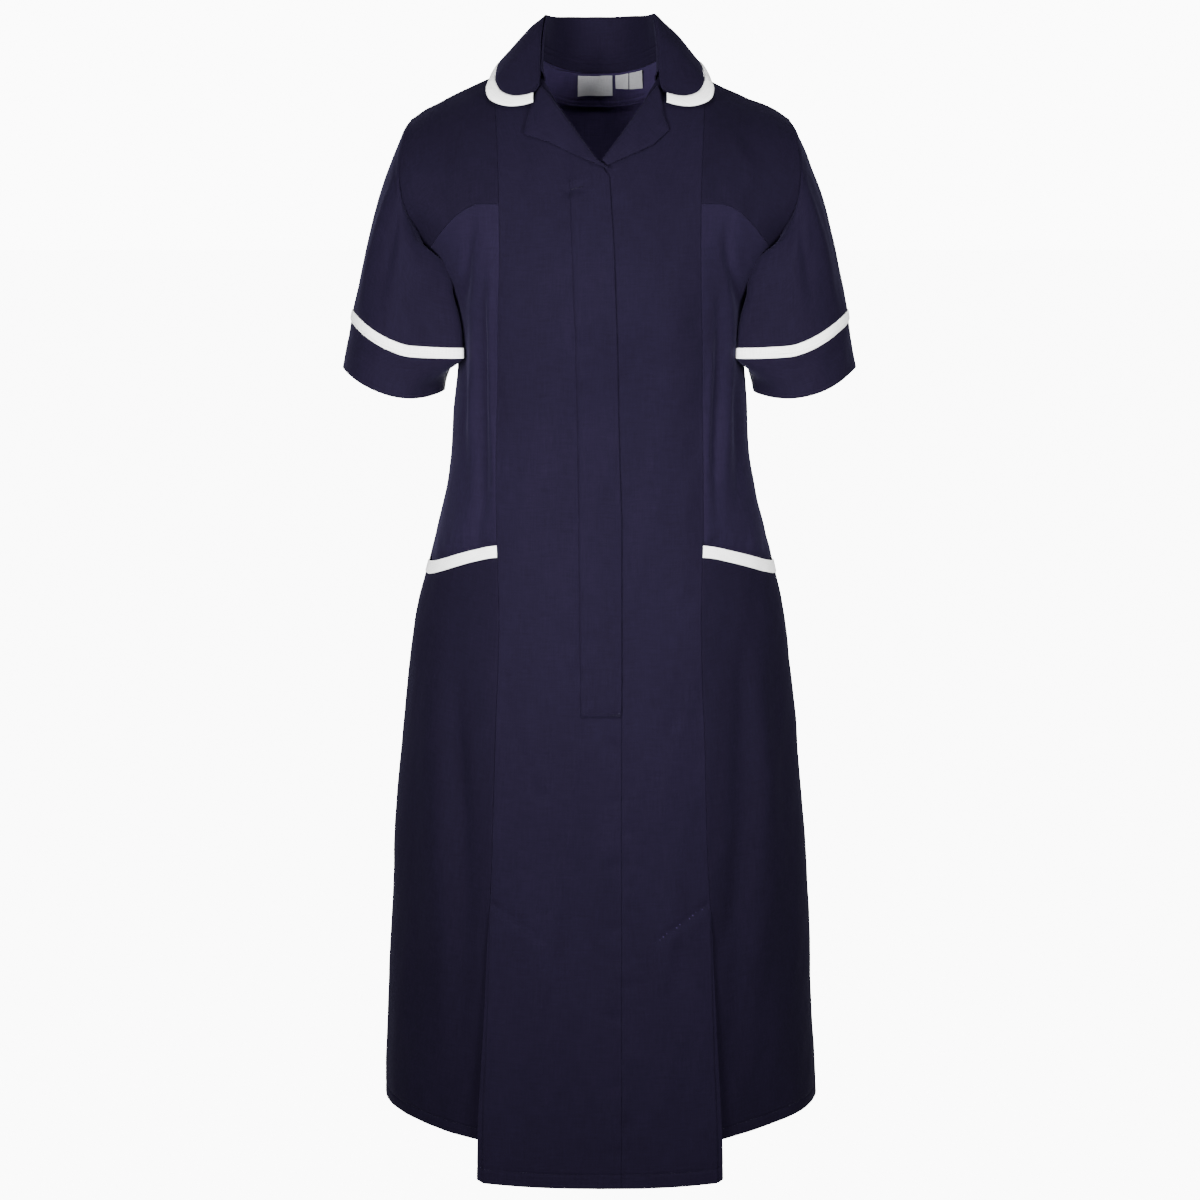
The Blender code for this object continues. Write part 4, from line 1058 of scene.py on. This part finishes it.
def build_collar(context):
    """The leaf rolls over the stand and falls; a white band is bound to its edge."""
    navy, white = cloth_material("Navy twill, collar"), trim_material("White trim")
    cloth = context.scene.dress_cloth
    last = len(COLLAR) - 1.0
    stations = np.linspace(-last, last, 221)
    fold, edge, rim = (collar_line(kind, stations) for kind in ("fold", "leaf", "trim"))
    inward = towards_neck(fold)
    taper = (1 - np.abs(stations) / last)[:, None]

    columns = []
    for turn in np.radians([-70.0, -30.0, 10.0, 45.0, 75.0]):
        rise = math.sin(turn) if turn > 0 else turn / 1.2
        columns.append(fold + inward * FOLD_RADIUS * (1 + math.cos(turn))
                       + np.array([0, 0, FOLD_RADIUS]) * (rise - 1.0))
    puff_way = unit(edge * (1.0, 1.0, 0.0) + np.array([0.0, 0.0, 0.05]))
    span = np.linalg.norm(edge - fold, axis=-1)[:, None]
    for share in np.concatenate([[0.0, 0.02, 0.05], np.linspace(0.09, 1.0, 26)]):
        puff = 0.06 * span * math.sin(math.pi * share) * taper ** 0.5
        columns.append(fold + (edge - fold) * share + puff_way * puff)
    leaf = np.stack(columns, axis=1)
    lift = unevenness(leaf) * cloth.unevenness * 0.7
    ripple = np.sin(leaf[..., 0] * 70 + leaf[..., 2] * 90)
    lift = lift + 0.0008 * ripple * ramp(run_lengths(leaf, 1), 0.006, 0.02)
    shell("collar", leaf, away(leaf), lift, navy, 0.0011, edge_drop(leaf, "lrt", 0.0006))

    shares = np.linspace(0.01, 1.0, 9)
    band = np.stack([edge + (rim - edge) * share for share in shares], axis=1)
    width = np.linalg.norm(rim - edge, axis=-1)[:, None]
    bulge = 0.0006 * np.sin(np.pi * shares)[None, :] * ramp(width, 0.001, 0.006)
    shell("collar_trim", band, away(band), bulge + 0.0004, white, 0.0014, edge_drop(band, "bt", 0.0005))

    stations = np.linspace(-STAND_END, STAND_END, 161)
    fold, seam = collar_line("fold", stations), neck_seam(stations)
    inward = towards_neck(fold)
    top = fold + inward * STAND_INSET - np.array([0.0, 0.0, 0.0014])
    bottom = seam + inward * 0.0012 - np.array([0.0, 0.0, 0.0022])
    shares = np.linspace(0.0, 1.0, 61)
    stand = np.stack([bottom + (top - bottom) * share for share in shares], axis=1)
    hollow = -0.0012 * np.sin(np.pi * shares)[None, :]
    down = run_lengths(stand, 1)
    seams = -sum(groove(down - place, 0.0008, 0.0007) for place in STAND_ROWS)
    shell("collar_stand", stand, away(stand), hollow + seams, navy, 0.0012)


# ---- Nodes and materials ----

def fill(tree, made, inputs):
    """Sets each input of a node, or links it where it is given a socket."""
    for place, value in inputs.items():
        if isinstance(value, bpy.types.NodeSocket):
            tree.links.new(value, made.inputs[place])
        else:
            made.inputs[place].default_value = value
    return made


def add_node(tree, kind, inputs, **settings):
    """A new node with its settings, and its inputs filled or linked."""
    made = tree.nodes.new(kind)
    for name, value in settings.items():
        setattr(made, name, value)
    return fill(tree, made, inputs)


def math_node(tree, operation, *values):
    return add_node(tree, "ShaderNodeMath", dict(enumerate(values)), operation=operation).outputs[0]


def noise_node(tree, vector, scale, detail):
    return add_node(tree, "ShaderNodeTexNoise", {"Vector": vector, "Scale": scale, "Detail": detail}).outputs[0]


def stretched(tree, vector, scale):
    return add_node(tree, "ShaderNodeMapping", {"Vector": vector, "Scale": scale}).outputs[0]


def new_group(name, kind, incoming, outgoing):
    """A node group with its sockets, each as (name, type) or (name, type, default), and what it is given."""
    group = bpy.data.node_groups.new(name, kind)
    for way, sockets in (("INPUT", incoming), ("OUTPUT", outgoing)):
        for label, form, *default in sockets:
            made = group.interface.new_socket(name=label, in_out=way, socket_type="NodeSocket" + form)
            if default:
                made.default_value = default[0]
    return group, group.nodes.new("NodeGroupInput").outputs


def twill_group():
    """Height and tone of a fine twill: slanting ribs crossed by threads that vary in thickness."""
    name = "Twill Weave"
    if name in bpy.data.node_groups:
        return bpy.data.node_groups[name]
    group, given = new_group(name, "ShaderNodeTree", (("Vector", "Vector"), ("Rib Spacing", "Float", 0.0009)),
                             (("Height", "Float"), ("Tone", "Float")))
    close = math_node(group, "DIVIDE", 1.0, given["Rib Spacing"])
    scaled = add_node(group, "ShaderNodeVectorMath", {0: given["Vector"], "Scale": close},
                      operation="SCALE").outputs[0]
    parts = add_node(group, "ShaderNodeSeparateXYZ", {0: scaled}).outputs
    waver = math_node(group, "MULTIPLY", noise_node(group, scaled, 0.35, 3.0), 1.6)
    slant = math_node(group, "ADD", parts[0], math_node(group, "MULTIPLY", parts[1], 0.8))
    bent = math_node(group, "ADD", slant, waver)
    ribs = math_node(group, "SINE", math_node(group, "MULTIPLY", bent, 2 * math.pi))
    threads = math_node(group, "SINE", math_node(group, "MULTIPLY", parts[1], 4 * math.pi))
    height = math_node(group, "ADD", ribs, math_node(group, "MULTIPLY", threads, 0.35))
    slubs = [math_node(group, "SUBTRACT", noise_node(group, stretched(group, scaled, scale), 0.9, 2.0), 0.5)
             for scale in ((1.0, 0.04, 1.0), (0.05, 0.8, 1.0))]
    yarns = math_node(group, "MULTIPLY", math_node(group, "ADD", *slubs), 0.45)
    tone = math_node(group, "ADD", math_node(group, "MULTIPLY", ribs, 0.12), yarns)
    add_node(group, "NodeGroupOutput", {"Height": height, "Tone": math_node(group, "ADD", 1.0, tone)})
    return group


def grain_group():
    """Broad and close unevenness of a washed cloth, as a tone and a height."""
    name = "Cloth Grain"
    if name in bpy.data.node_groups:
        return bpy.data.node_groups[name]
    group, given = new_group(name, "ShaderNodeTree", (("Vector", "Vector"), ("Strength", "Float", 0.1)),
                             (("Tone", "Float"), ("Height", "Float")))
    hung = stretched(group, given["Vector"], (1.0, 1.0, 0.45))
    broad, close = (math_node(group, "SUBTRACT", noise_node(group, hung, scale, detail), 0.5)
                    for scale, detail in ((26.0, 3.0), (240.0, 4.0)))
    mixed = math_node(group, "ADD", broad, math_node(group, "MULTIPLY", close, 0.6))
    tone = math_node(group, "MULTIPLY", math_node(group, "MULTIPLY", mixed, 2.0), given["Strength"])
    height = math_node(group, "ADD", broad, math_node(group, "MULTIPLY", close, 0.12))
    add_node(group, "NodeGroupOutput", {"Tone": math_node(group, "ADD", 1.0, tone), "Height": height})
    return group


def woven_material(name, colour, rib, rib_depth, roughness, sheen, sheen_colour, grain, dent):
    """A woven cloth: weave and grain come from the shared groups, the shader stays here."""
    if name in bpy.data.materials:
        return bpy.data.materials[name]
    made = bpy.data.materials.new(name)
    made.use_nodes = True
    tree = made.node_tree
    uv = add_node(tree, "ShaderNodeUVMap", {}, uv_map="cloth").outputs[0]
    place = add_node(tree, "ShaderNodeTexCoord", {}).outputs["Object"]
    weave = add_node(tree, "ShaderNodeGroup", {}, node_tree=twill_group())
    worn = add_node(tree, "ShaderNodeGroup", {}, node_tree=grain_group())
    weave = fill(tree, weave, {"Vector": uv, "Rib Spacing": rib}).outputs
    worn = fill(tree, worn, {"Vector": place, "Strength": grain}).outputs
    tone = math_node(tree, "MULTIPLY", weave["Tone"], worn["Tone"])
    tint = add_node(tree, "ShaderNodeVectorMath", {0: colour, "Scale": tone}, operation="SCALE")
    dents = add_node(tree, "ShaderNodeBump", {"Distance": dent, "Strength": 1.0, "Height": worn["Height"]})
    ribs = add_node(tree, "ShaderNodeBump", {
        "Distance": rib_depth, "Strength": 0.6, "Height": weave["Height"], "Normal": dents.outputs[0]})
    fill(tree, tree.nodes["Principled BSDF"], {
        "Base Color": tint.outputs[0], "Normal": ribs.outputs[0], "Roughness": roughness,
        "Specular IOR Level": 0.03, "Sheen Weight": sheen, "Sheen Roughness": 0.45,
        "Sheen Tint": (*sheen_colour, 1.0)})
    return made


# Painted light and shade: each piece gets a lighter or darker copy of the twill, tone and sheen beside the
# centre's, standing in for how the light falls on it. The side fronts are painted lighter, the shoulder fronts,
# side skirts and pleat underlays darker, and the neck facing and the inner faces much lighter.
PAINTED_LIGHT_TONES = {
    "Navy twill": (1.0, 1.0), "Navy twill, yoke": (0.88, 0.7), "Navy twill, bias": (1.28, 1.3),
    "Navy twill, skirt": (0.84, 0.7), "Navy twill, sleeve": (1.0, 1.0), "Navy twill, collar": (1.06, 0.8),
    "Navy twill, underlay": (0.60, 0.6), "Navy twill, facing": (1.6, 1.0), "Navy twill, inside": (4.6, 1.0),
}


def cloth_material(name):
    colours = bpy.context.scene.dress_colours
    # tone is the piece's painted light or shade, a factor on the navy
    tone, sheen = PAINTED_LIGHT_TONES[name]
    return woven_material(
        name, tuple(tone * part for part in colours.navy), rib=0.0009, rib_depth=0.00006, roughness=0.78,
        sheen=sheen * colours.sheen, sheen_colour=(0.55, 0.50, 0.95), grain=0.13, dent=0.0011)


def trim_material(name):
    return woven_material(
        name, tuple(bpy.context.scene.dress_colours.trim), rib=0.0007, rib_depth=0.00005, roughness=0.70,
        sheen=0.05, sheen_colour=(1.0, 1.0, 1.0), grain=0.03, dent=0.0004)


def label_material(name):
    return woven_material(
        name, tuple(bpy.context.scene.dress_colours.label), rib=0.0004, rib_depth=0.00003, roughness=0.45,
        sheen=0.20, sheen_colour=(1.0, 1.0, 1.0), grain=0.05, dent=0.0003)


def thread_material(name):
    return woven_material(
        name, tuple(0.9 * part for part in bpy.context.scene.dress_colours.navy), rib=0.0004, rib_depth=0.00003,
        roughness=0.55, sheen=0.10, sheen_colour=(0.7, 0.7, 1.0), grain=0.05, dent=0.0)


# ---- Each shell on the body ----


def register_cloth(piece, node):
    """A finished shell rides the body and stands for its node."""
    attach(piece, "root")
    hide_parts(node)


# ---- Stitches ----

THREAD_UNEVENNESS, THREAD_SEED = 0.15, 3


def stitch_tree():
    """Geometry nodes: a bead of thread on each even step of a path, as real geometry."""
    name = "Stitch Line"
    if name in bpy.data.node_groups:
        return bpy.data.node_groups[name]
    tree, given = new_group(name, "GeometryNodeTree", (
        ("Path", "Geometry"), ("Spacing", "Float", 0.003), ("Length", "Float", 0.0021),
        ("Thickness", "Float", 0.0005), ("Unevenness", "Float", THREAD_UNEVENNESS),
        ("Seed", "Int", THREAD_SEED), ("Thread", "Material")), (("Stitches", "Geometry"),))
    curve = add_node(tree, "GeometryNodeMeshToCurve", {0: given["Path"]}).outputs[0]
    even = add_node(tree, "GeometryNodeResampleCurve", {"Curve": curve, "Length": given["Spacing"]}, mode="LENGTH")
    places = add_node(tree, "GeometryNodeCurveToPoints", {"Curve": even.outputs[0]}, mode="EVALUATED").outputs
    bead = add_node(tree, "GeometryNodeMeshUVSphere", {"Segments": 6, "Rings": 4, "Radius": 0.5}).outputs["Mesh"]
    spread = add_node(tree, "FunctionNodeRandomValue", {"Seed": given["Seed"]}, data_type="FLOAT")
    least, most = (end for end in spread.inputs if end.type == "VALUE" and end.enabled)
    tree.links.new(math_node(tree, "SUBTRACT", 1.0, given["Unevenness"]), least)
    tree.links.new(math_node(tree, "ADD", 1.0, given["Unevenness"]), most)
    share = next(end for end in spread.outputs if end.enabled)
    length = math_node(tree, "MULTIPLY", given["Length"], share)
    size = add_node(tree, "ShaderNodeCombineXYZ", {0: given["Thickness"], 1: given["Thickness"], 2: length})
    copies = add_node(tree, "GeometryNodeInstanceOnPoints", {
        "Points": places["Points"], "Instance": bead, "Rotation": places["Rotation"], "Scale": size.outputs[0]})
    real = add_node(tree, "GeometryNodeRealizeInstances", {0: copies.outputs[0]}).outputs[0]
    thread = add_node(tree, "GeometryNodeSetMaterial", {"Geometry": real, "Material": given["Thread"]}).outputs[0]
    add_node(tree, "NodeGroupOutput", {"Stitches": thread})
    return tree


def stitch_piece(name, paths, spacing=None, length=None):
    """Runs the stitch nodes along paths of points and keeps the result as a plain mesh."""
    settings = bpy.context.scene.dress_stitches
    points = np.concatenate(paths)
    edges, start = [], 0
    for path in paths:
        edges += [(start + k, start + k + 1) for k in range(len(path) - 1)]
        start += len(path)
    mesh = bpy.data.meshes.new(name + "_path")
    mesh.from_pydata(points.tolist(), edges, [])
    guide = add_object(name + "_path", mesh)
    modifier = guide.modifiers.new("Stitch Line", "NODES")
    modifier.node_group = stitch_tree()
    values = {"Spacing": spacing or settings.spacing, "Length": length or settings.length,
              "Thickness": settings.thickness, "Unevenness": THREAD_UNEVENNESS, "Seed": THREAD_SEED,
              "Thread": thread_material("Navy thread")}
    for item in modifier.node_group.interface.items_tree:
        if item.item_type == "SOCKET" and item.in_out == "INPUT" and item.name in values:
            modifier[item.identifier] = values[item.name]
    graph = bpy.context.evaluated_depsgraph_get()
    made = bpy.data.meshes.new_from_object(guide.evaluated_get(graph), depsgraph=graph)
    if not made.polygons:
        raise RuntimeError(name + ": the stitch nodes made nothing")
    made.name = name
    made.shade_smooth()
    bpy.data.objects.remove(guide)
    piece = add_object(name, made)
    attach(piece, "root")


def on_cloth(face, x, z, extra, rise=0.0001):
    """A path just above the finished cloth."""
    points, normals = surface(face, x, z, extra)
    return points + normals * rise


def hem_path(face, low, high, height_of, extra, count=90):
    x = np.linspace(low, high, count)
    return on_cloth(face, x, height_of(x), extra)


def side_hem_height(face):
    return lambda x: hem_height(face, x) + SIDE_HEM_DEPTH


def build_stitches(context):
    """Rows of stitching on the placket, the pleats and the hems."""
    z = np.linspace(PLACKET_END + 0.004, -0.094, 200)
    line = on_cloth(FRONT, on_line(STITCH_LINE, z), z, placket_extra)
    x = np.linspace(on_line(STITCH_LINE, PLACKET_END), 0.0185, 30)
    foot = on_cloth(FRONT, x, np.full(x.shape, PLACKET_END + 0.004), placket_extra)
    stitch_piece("placket_stitches", [line, foot])
    tacks = []
    for shift in np.linspace(0.0, 0.0016, 3):
        x = np.linspace(0.0095, 0.0192, 12)
        tacks.append(on_cloth(FRONT, x, np.full(x.shape, PLACKET_END + 0.0015 + shift), placket_extra, 0.0003))
        x = np.linspace(-0.030, -0.0165, 12)
        tacks.append(on_cloth(FRONT, x, TACK_HEIGHT + (x + 0.030) * 0.28 - shift * 0.5, placket_extra, 0.0003))
    stitch_piece("bar_tacks", tacks, spacing=0.0014, length=0.0016)

    slants = []
    for side in (-1.0, 1.0):
        extra = placket_extra if side < 0 else centre_extra
        x = side * np.linspace(PLEAT_SEAM - 0.0015, PLEAT_SEAM - PLEAT_STITCH, 40)
        slants.append(on_cloth(FRONT, x, pleat_line_height(x), extra))
    stitch_piece("pleat_stitches", slants)

    hems = [hem_path(FRONT, -0.112, 0.0180, lambda x: centre_hem_height(x) + HEM_DEPTH, placket_extra),
            hem_path(FRONT, 0.0230, 0.112, lambda x: centre_hem_height(x) + HEM_DEPTH, centre_extra)]
    for side in (-1.0, 1.0):
        hems.append(hem_path(FRONT, side * 0.1165, side * 0.2080, side_hem_height(FRONT), side_hem_extra))
        hems.append(hem_path(BACK, side * 0.1165, side * 0.2080, side_hem_height(BACK), back_hem_extra))
    hems.append(hem_path(BACK, -0.112, 0.112, side_hem_height(BACK), back_hem_extra, 120))
    stitch_piece("hem_stitches", hems)
    build_neck_stitches()


def build_neck_stitches():
    """The double rows on the inside of the collar's stand and on the facing."""
    stations = np.linspace(-STAND_END + 0.9, STAND_END - 0.9, 120)
    fold, seam = collar_line("fold", stations), neck_seam(stations)
    inward = towards_neck(fold)
    rows = []
    for height in STAND_ROWS:
        top = fold + inward * STAND_INSET
        run = unit(top - seam)
        rows.append(seam + run * height + inward * 0.0022)
    for down in FACING_ROWS:
        x = np.linspace(-0.054, 0.054, 70)
        rows.append(surface(BACK, x, facing_height(np.abs(x)) + down, lambda here, row: -0.0048)[0])
    stitch_piece("neck_stitches", rows, spacing=0.0026, length=0.0018)


# ---- Stage ----

FLOOR_REACH = 30.0
CAMERA_PLACE, CAMERA_LENS, CAMERA_DIP = (0.0, -4.5, 0.04), 140.6, 6.66      # metres, mm, degrees

# Studio lights: place, what they point at, size of the square, power, and how far the beam spreads.
Light = namedtuple("Light", "name place target size power spread")
LIGHTS = [
    Light("key", (-0.62, -1.25, -0.20), (0.0, 0.0, -0.36), 0.5, 14.3, 95.0),
    Light("fill", (0.72, -1.30, -0.24), (0.0, 0.0, -0.36), 0.5, 11.0, 95.0),
    Light("top", (0.0, -1.5, 1.3), (0.0, 0.08, -0.05), 0.5, 26.0, 180.0),
    Light("rear", (0.0, 1.7, -0.30), (0.0, 0.0, -0.42), 0.7, 20.0, 110.0),
]


def soft_material(name, colour, glow):
    made = bpy.data.materials.new(name)
    made.use_nodes = True
    tree = made.node_tree
    seen = add_node(tree, "ShaderNodeLightPath", {}).outputs["Is Camera Ray"]
    fill(tree, tree.nodes["Principled BSDF"], {
        "Base Color": (*colour, 1.0), "Roughness": 0.9, "Emission Color": (1.0, 1.0, 1.0, 1.0),
        "Emission Strength": math_node(tree, "MULTIPLY", seen, glow)})
    return made


def area_light(light, strength):
    data = bpy.data.lights.new(light.name, "AREA")
    data.energy = light.power * strength
    data.shape = "SQUARE"
    data.size = light.size
    data.spread = math.radians(light.spread)
    made = add_object(light.name, data)
    made.location = light.place
    made.rotation_euler = (Vector(light.target) - Vector(light.place)).to_track_quat("-Z", "Y").to_euler()


def build_stage(context):
    settings = context.scene.dress_stage
    floor_mesh = bpy.data.meshes.new("floor")
    corners = [(x * FLOOR_REACH, y * FLOOR_REACH, 0) for x, y in ((-1, -1), (1, -1), (1, 1), (-1, 1))]
    floor_mesh.from_pydata(corners, [], [(0, 1, 2, 3)])
    floor_mesh.materials.append(soft_material("Pale floor", (0.90, 0.90, 0.90), settings.glow))
    floor = add_object("floor", floor_mesh)
    floor.location.z = settings.floor_height

    world = bpy.data.worlds.new("Studio")
    world.use_nodes = True
    tree = world.node_tree
    seen = add_node(tree, "ShaderNodeLightPath", {}).outputs["Is Camera Ray"]
    shown = math_node(tree, "MULTIPLY", seen, settings.backdrop - settings.surround)
    fill(tree, tree.nodes["Background"], {
        "Color": (1.0, 1.0, 1.0, 1.0), "Strength": math_node(tree, "ADD", shown, settings.surround)})
    context.scene.world = world

    for light in LIGHTS:
        area_light(light, settings.light)

    camera_data = bpy.data.cameras.new("camera")
    camera_data.sensor_width = 36.0
    camera_data.lens = CAMERA_LENS
    camera_data.dof.use_dof = False
    camera = add_object("camera", camera_data)
    camera.location = CAMERA_PLACE
    camera.rotation_euler = (math.radians(90 - CAMERA_DIP), 0.0, 0.0)
    context.scene.camera = camera


# ---- Add-on ----

class DressCloth(bpy.types.PropertyGroup):
    spacing: bpy.props.FloatProperty(
        name="Grid", description="Spacing of the points of a panel", default=0.0032, min=0.002, unit="LENGTH")
    crease: bpy.props.FloatProperty(
        name="Creases", description="Strength of the folds laid on by hand", default=1.5, min=0.0)
    unevenness: bpy.props.FloatProperty(
        name="Unevenness", description="Strength of the cloth's small slackness", default=1.0, min=0.0)


class DressPlacket(bpy.types.PropertyGroup):
    raise_height: bpy.props.FloatProperty(
        name="Raise", description="How far the folded placket stands off the left front", default=0.0020,
        unit="LENGTH")


class DressColours(bpy.types.PropertyGroup):
    navy: bpy.props.FloatVectorProperty(
        name="Navy", description="Body cloth", default=(0.0056, 0.0039, 0.0113), size=3, subtype="COLOR")
    trim: bpy.props.FloatVectorProperty(
        name="Trim", description="Bands on collar, sleeves and pockets", default=(0.97, 0.97, 0.97), size=3,
        subtype="COLOR")
    label: bpy.props.FloatVectorProperty(
        name="Label", description="Neck label", default=(0.31, 0.31, 0.33), size=3, subtype="COLOR")
    sheen: bpy.props.FloatProperty(
        name="Sheen", description="Soft gloss of the twill", default=0.04, min=0.0)


class DressStitches(bpy.types.PropertyGroup):
    spacing: bpy.props.FloatProperty(
        name="Pitch", description="From one stitch to the next", default=0.0030, unit="LENGTH")
    length: bpy.props.FloatProperty(
        name="Length", description="Length of a stitch", default=0.0022, unit="LENGTH")
    thickness: bpy.props.FloatProperty(
        name="Thickness", description="Thickness of the thread", default=0.0005, unit="LENGTH")


class DressStage(bpy.types.PropertyGroup):
    floor_height: bpy.props.FloatProperty(
        name="Floor", description="Height of the floor", default=-1.40, unit="LENGTH")
    surround: bpy.props.FloatProperty(
        name="Surround", description="Strength of the light from all round", default=0.22, min=0.0)
    backdrop: bpy.props.FloatProperty(
        name="Backdrop", description="Brightness of the backdrop itself", default=11.0, min=0.0)
    glow: bpy.props.FloatProperty(
        name="Glow", description="Brightness that the lit floor shows", default=10.0, min=0.0)
    light: bpy.props.FloatProperty(
        name="Light", description="Strength of the studio lights", default=1.0, min=0.0)


class DressOperator:
    """Shared behaviour of the operators that build a group of pieces."""
    build = None

    def execute(self, context):
        type(self).build(context)
        return {"FINISHED"}


class DRESS_OT_fronts(DressOperator, bpy.types.Operator):
    """Build the two centre fronts with their placket fold and hems"""
    bl_idname = "dress.fronts"
    bl_label = "Centre Fronts"
    build = build_fronts


class DRESS_OT_placket(DressOperator, bpy.types.Operator):
    """Build the placket strip and the underlap behind the opening"""
    bl_idname = "dress.placket"
    bl_label = "Placket"
    build = build_placket


class DRESS_OT_side_fronts(DressOperator, bpy.types.Operator):
    """Build the shoulder fronts and the side fronts below the bust seam"""
    bl_idname = "dress.side_fronts"
    bl_label = "Side Fronts"
    build = build_side_fronts


class DRESS_OT_side_skirts(DressOperator, bpy.types.Operator):
    """Build the lower side fronts with the white bands of their pockets"""
    bl_idname = "dress.side_skirts"
    bl_label = "Side Skirts and Pockets"
    build = build_side_skirts


class DRESS_OT_pleats(DressOperator, bpy.types.Operator):
    """Build the underlays of the kick pleats"""
    bl_idname = "dress.pleats"
    bl_label = "Kick Pleats"
    build = build_pleats


class DRESS_OT_backs(DressOperator, bpy.types.Operator):
    """Build the back and the side backs"""
    bl_idname = "dress.backs"
    bl_label = "Backs"
    build = build_backs


class DRESS_OT_neck(DressOperator, bpy.types.Operator):
    """Build the back neck facing and the bare labels"""
    bl_idname = "dress.neck"
    bl_label = "Neck Facing and Labels"
    build = build_neck


class DRESS_OT_lapels(DressOperator, bpy.types.Operator):
    """Build the two revers"""
    bl_idname = "dress.lapels"
    bl_label = "Lapels"
    build = build_lapels


class DRESS_OT_sleeves(DressOperator, bpy.types.Operator):
    """Build the sleeves with their white bands and cuffs"""
    bl_idname = "dress.sleeves"
    bl_label = "Sleeves"
    build = build_sleeves


class DRESS_OT_collar(DressOperator, bpy.types.Operator):
    """Build the collar, its stand and its white band"""
    bl_idname = "dress.collar"
    bl_label = "Collar"
    build = build_collar


class DRESS_OT_stitches(DressOperator, bpy.types.Operator):
    """Build the rows of stitching"""
    bl_idname = "dress.stitches"
    bl_label = "Stitching"
    build = build_stitches


class DRESS_OT_stage(DressOperator, bpy.types.Operator):
    """Build the floor, the studio light and the camera"""
    bl_idname = "dress.stage"
    bl_label = "Stage"
    build = build_stage


OPERATORS = (DRESS_OT_fronts, DRESS_OT_placket, DRESS_OT_side_fronts, DRESS_OT_side_skirts, DRESS_OT_pleats,
             DRESS_OT_backs, DRESS_OT_neck, DRESS_OT_lapels, DRESS_OT_sleeves, DRESS_OT_collar,
             DRESS_OT_stitches, DRESS_OT_stage)
SETTINGS = (("dress_cloth", DressCloth), ("dress_placket", DressPlacket), ("dress_colours", DressColours),
            ("dress_stitches", DressStitches), ("dress_stage", DressStage))


class DRESS_PT_panel(bpy.types.Panel):
    """Settings and operators of the dress"""
    bl_label = "Nurse Uniform Dress"
    bl_space_type = "VIEW_3D"
    bl_region_type = "UI"
    bl_category = "Dress"

    def draw(self, context):
        for name, group in SETTINGS:
            box = self.layout.box()
            for prop in group.__annotations__:
                box.prop(getattr(context.scene, name), prop)
        for operator in OPERATORS:
            self.layout.operator(operator.bl_idname)


def register():
    for name, group in SETTINGS:
        bpy.utils.register_class(group)
        setattr(bpy.types.Scene, name, bpy.props.PointerProperty(type=group))
    for operator in OPERATORS:
        bpy.utils.register_class(operator)
    bpy.utils.register_class(DRESS_PT_panel)


def unregister():
    bpy.utils.unregister_class(DRESS_PT_panel)
    for operator in reversed(OPERATORS):
        bpy.utils.unregister_class(operator)
    for name, group in reversed(SETTINGS):
        delattr(bpy.types.Scene, name)
        bpy.utils.unregister_class(group)


def main():
    register()
    for operator in OPERATORS:
        group, action = operator.bl_idname.split(".")
        getattr(getattr(bpy.ops, group), action)()


if __name__ == "__main__":
    main()
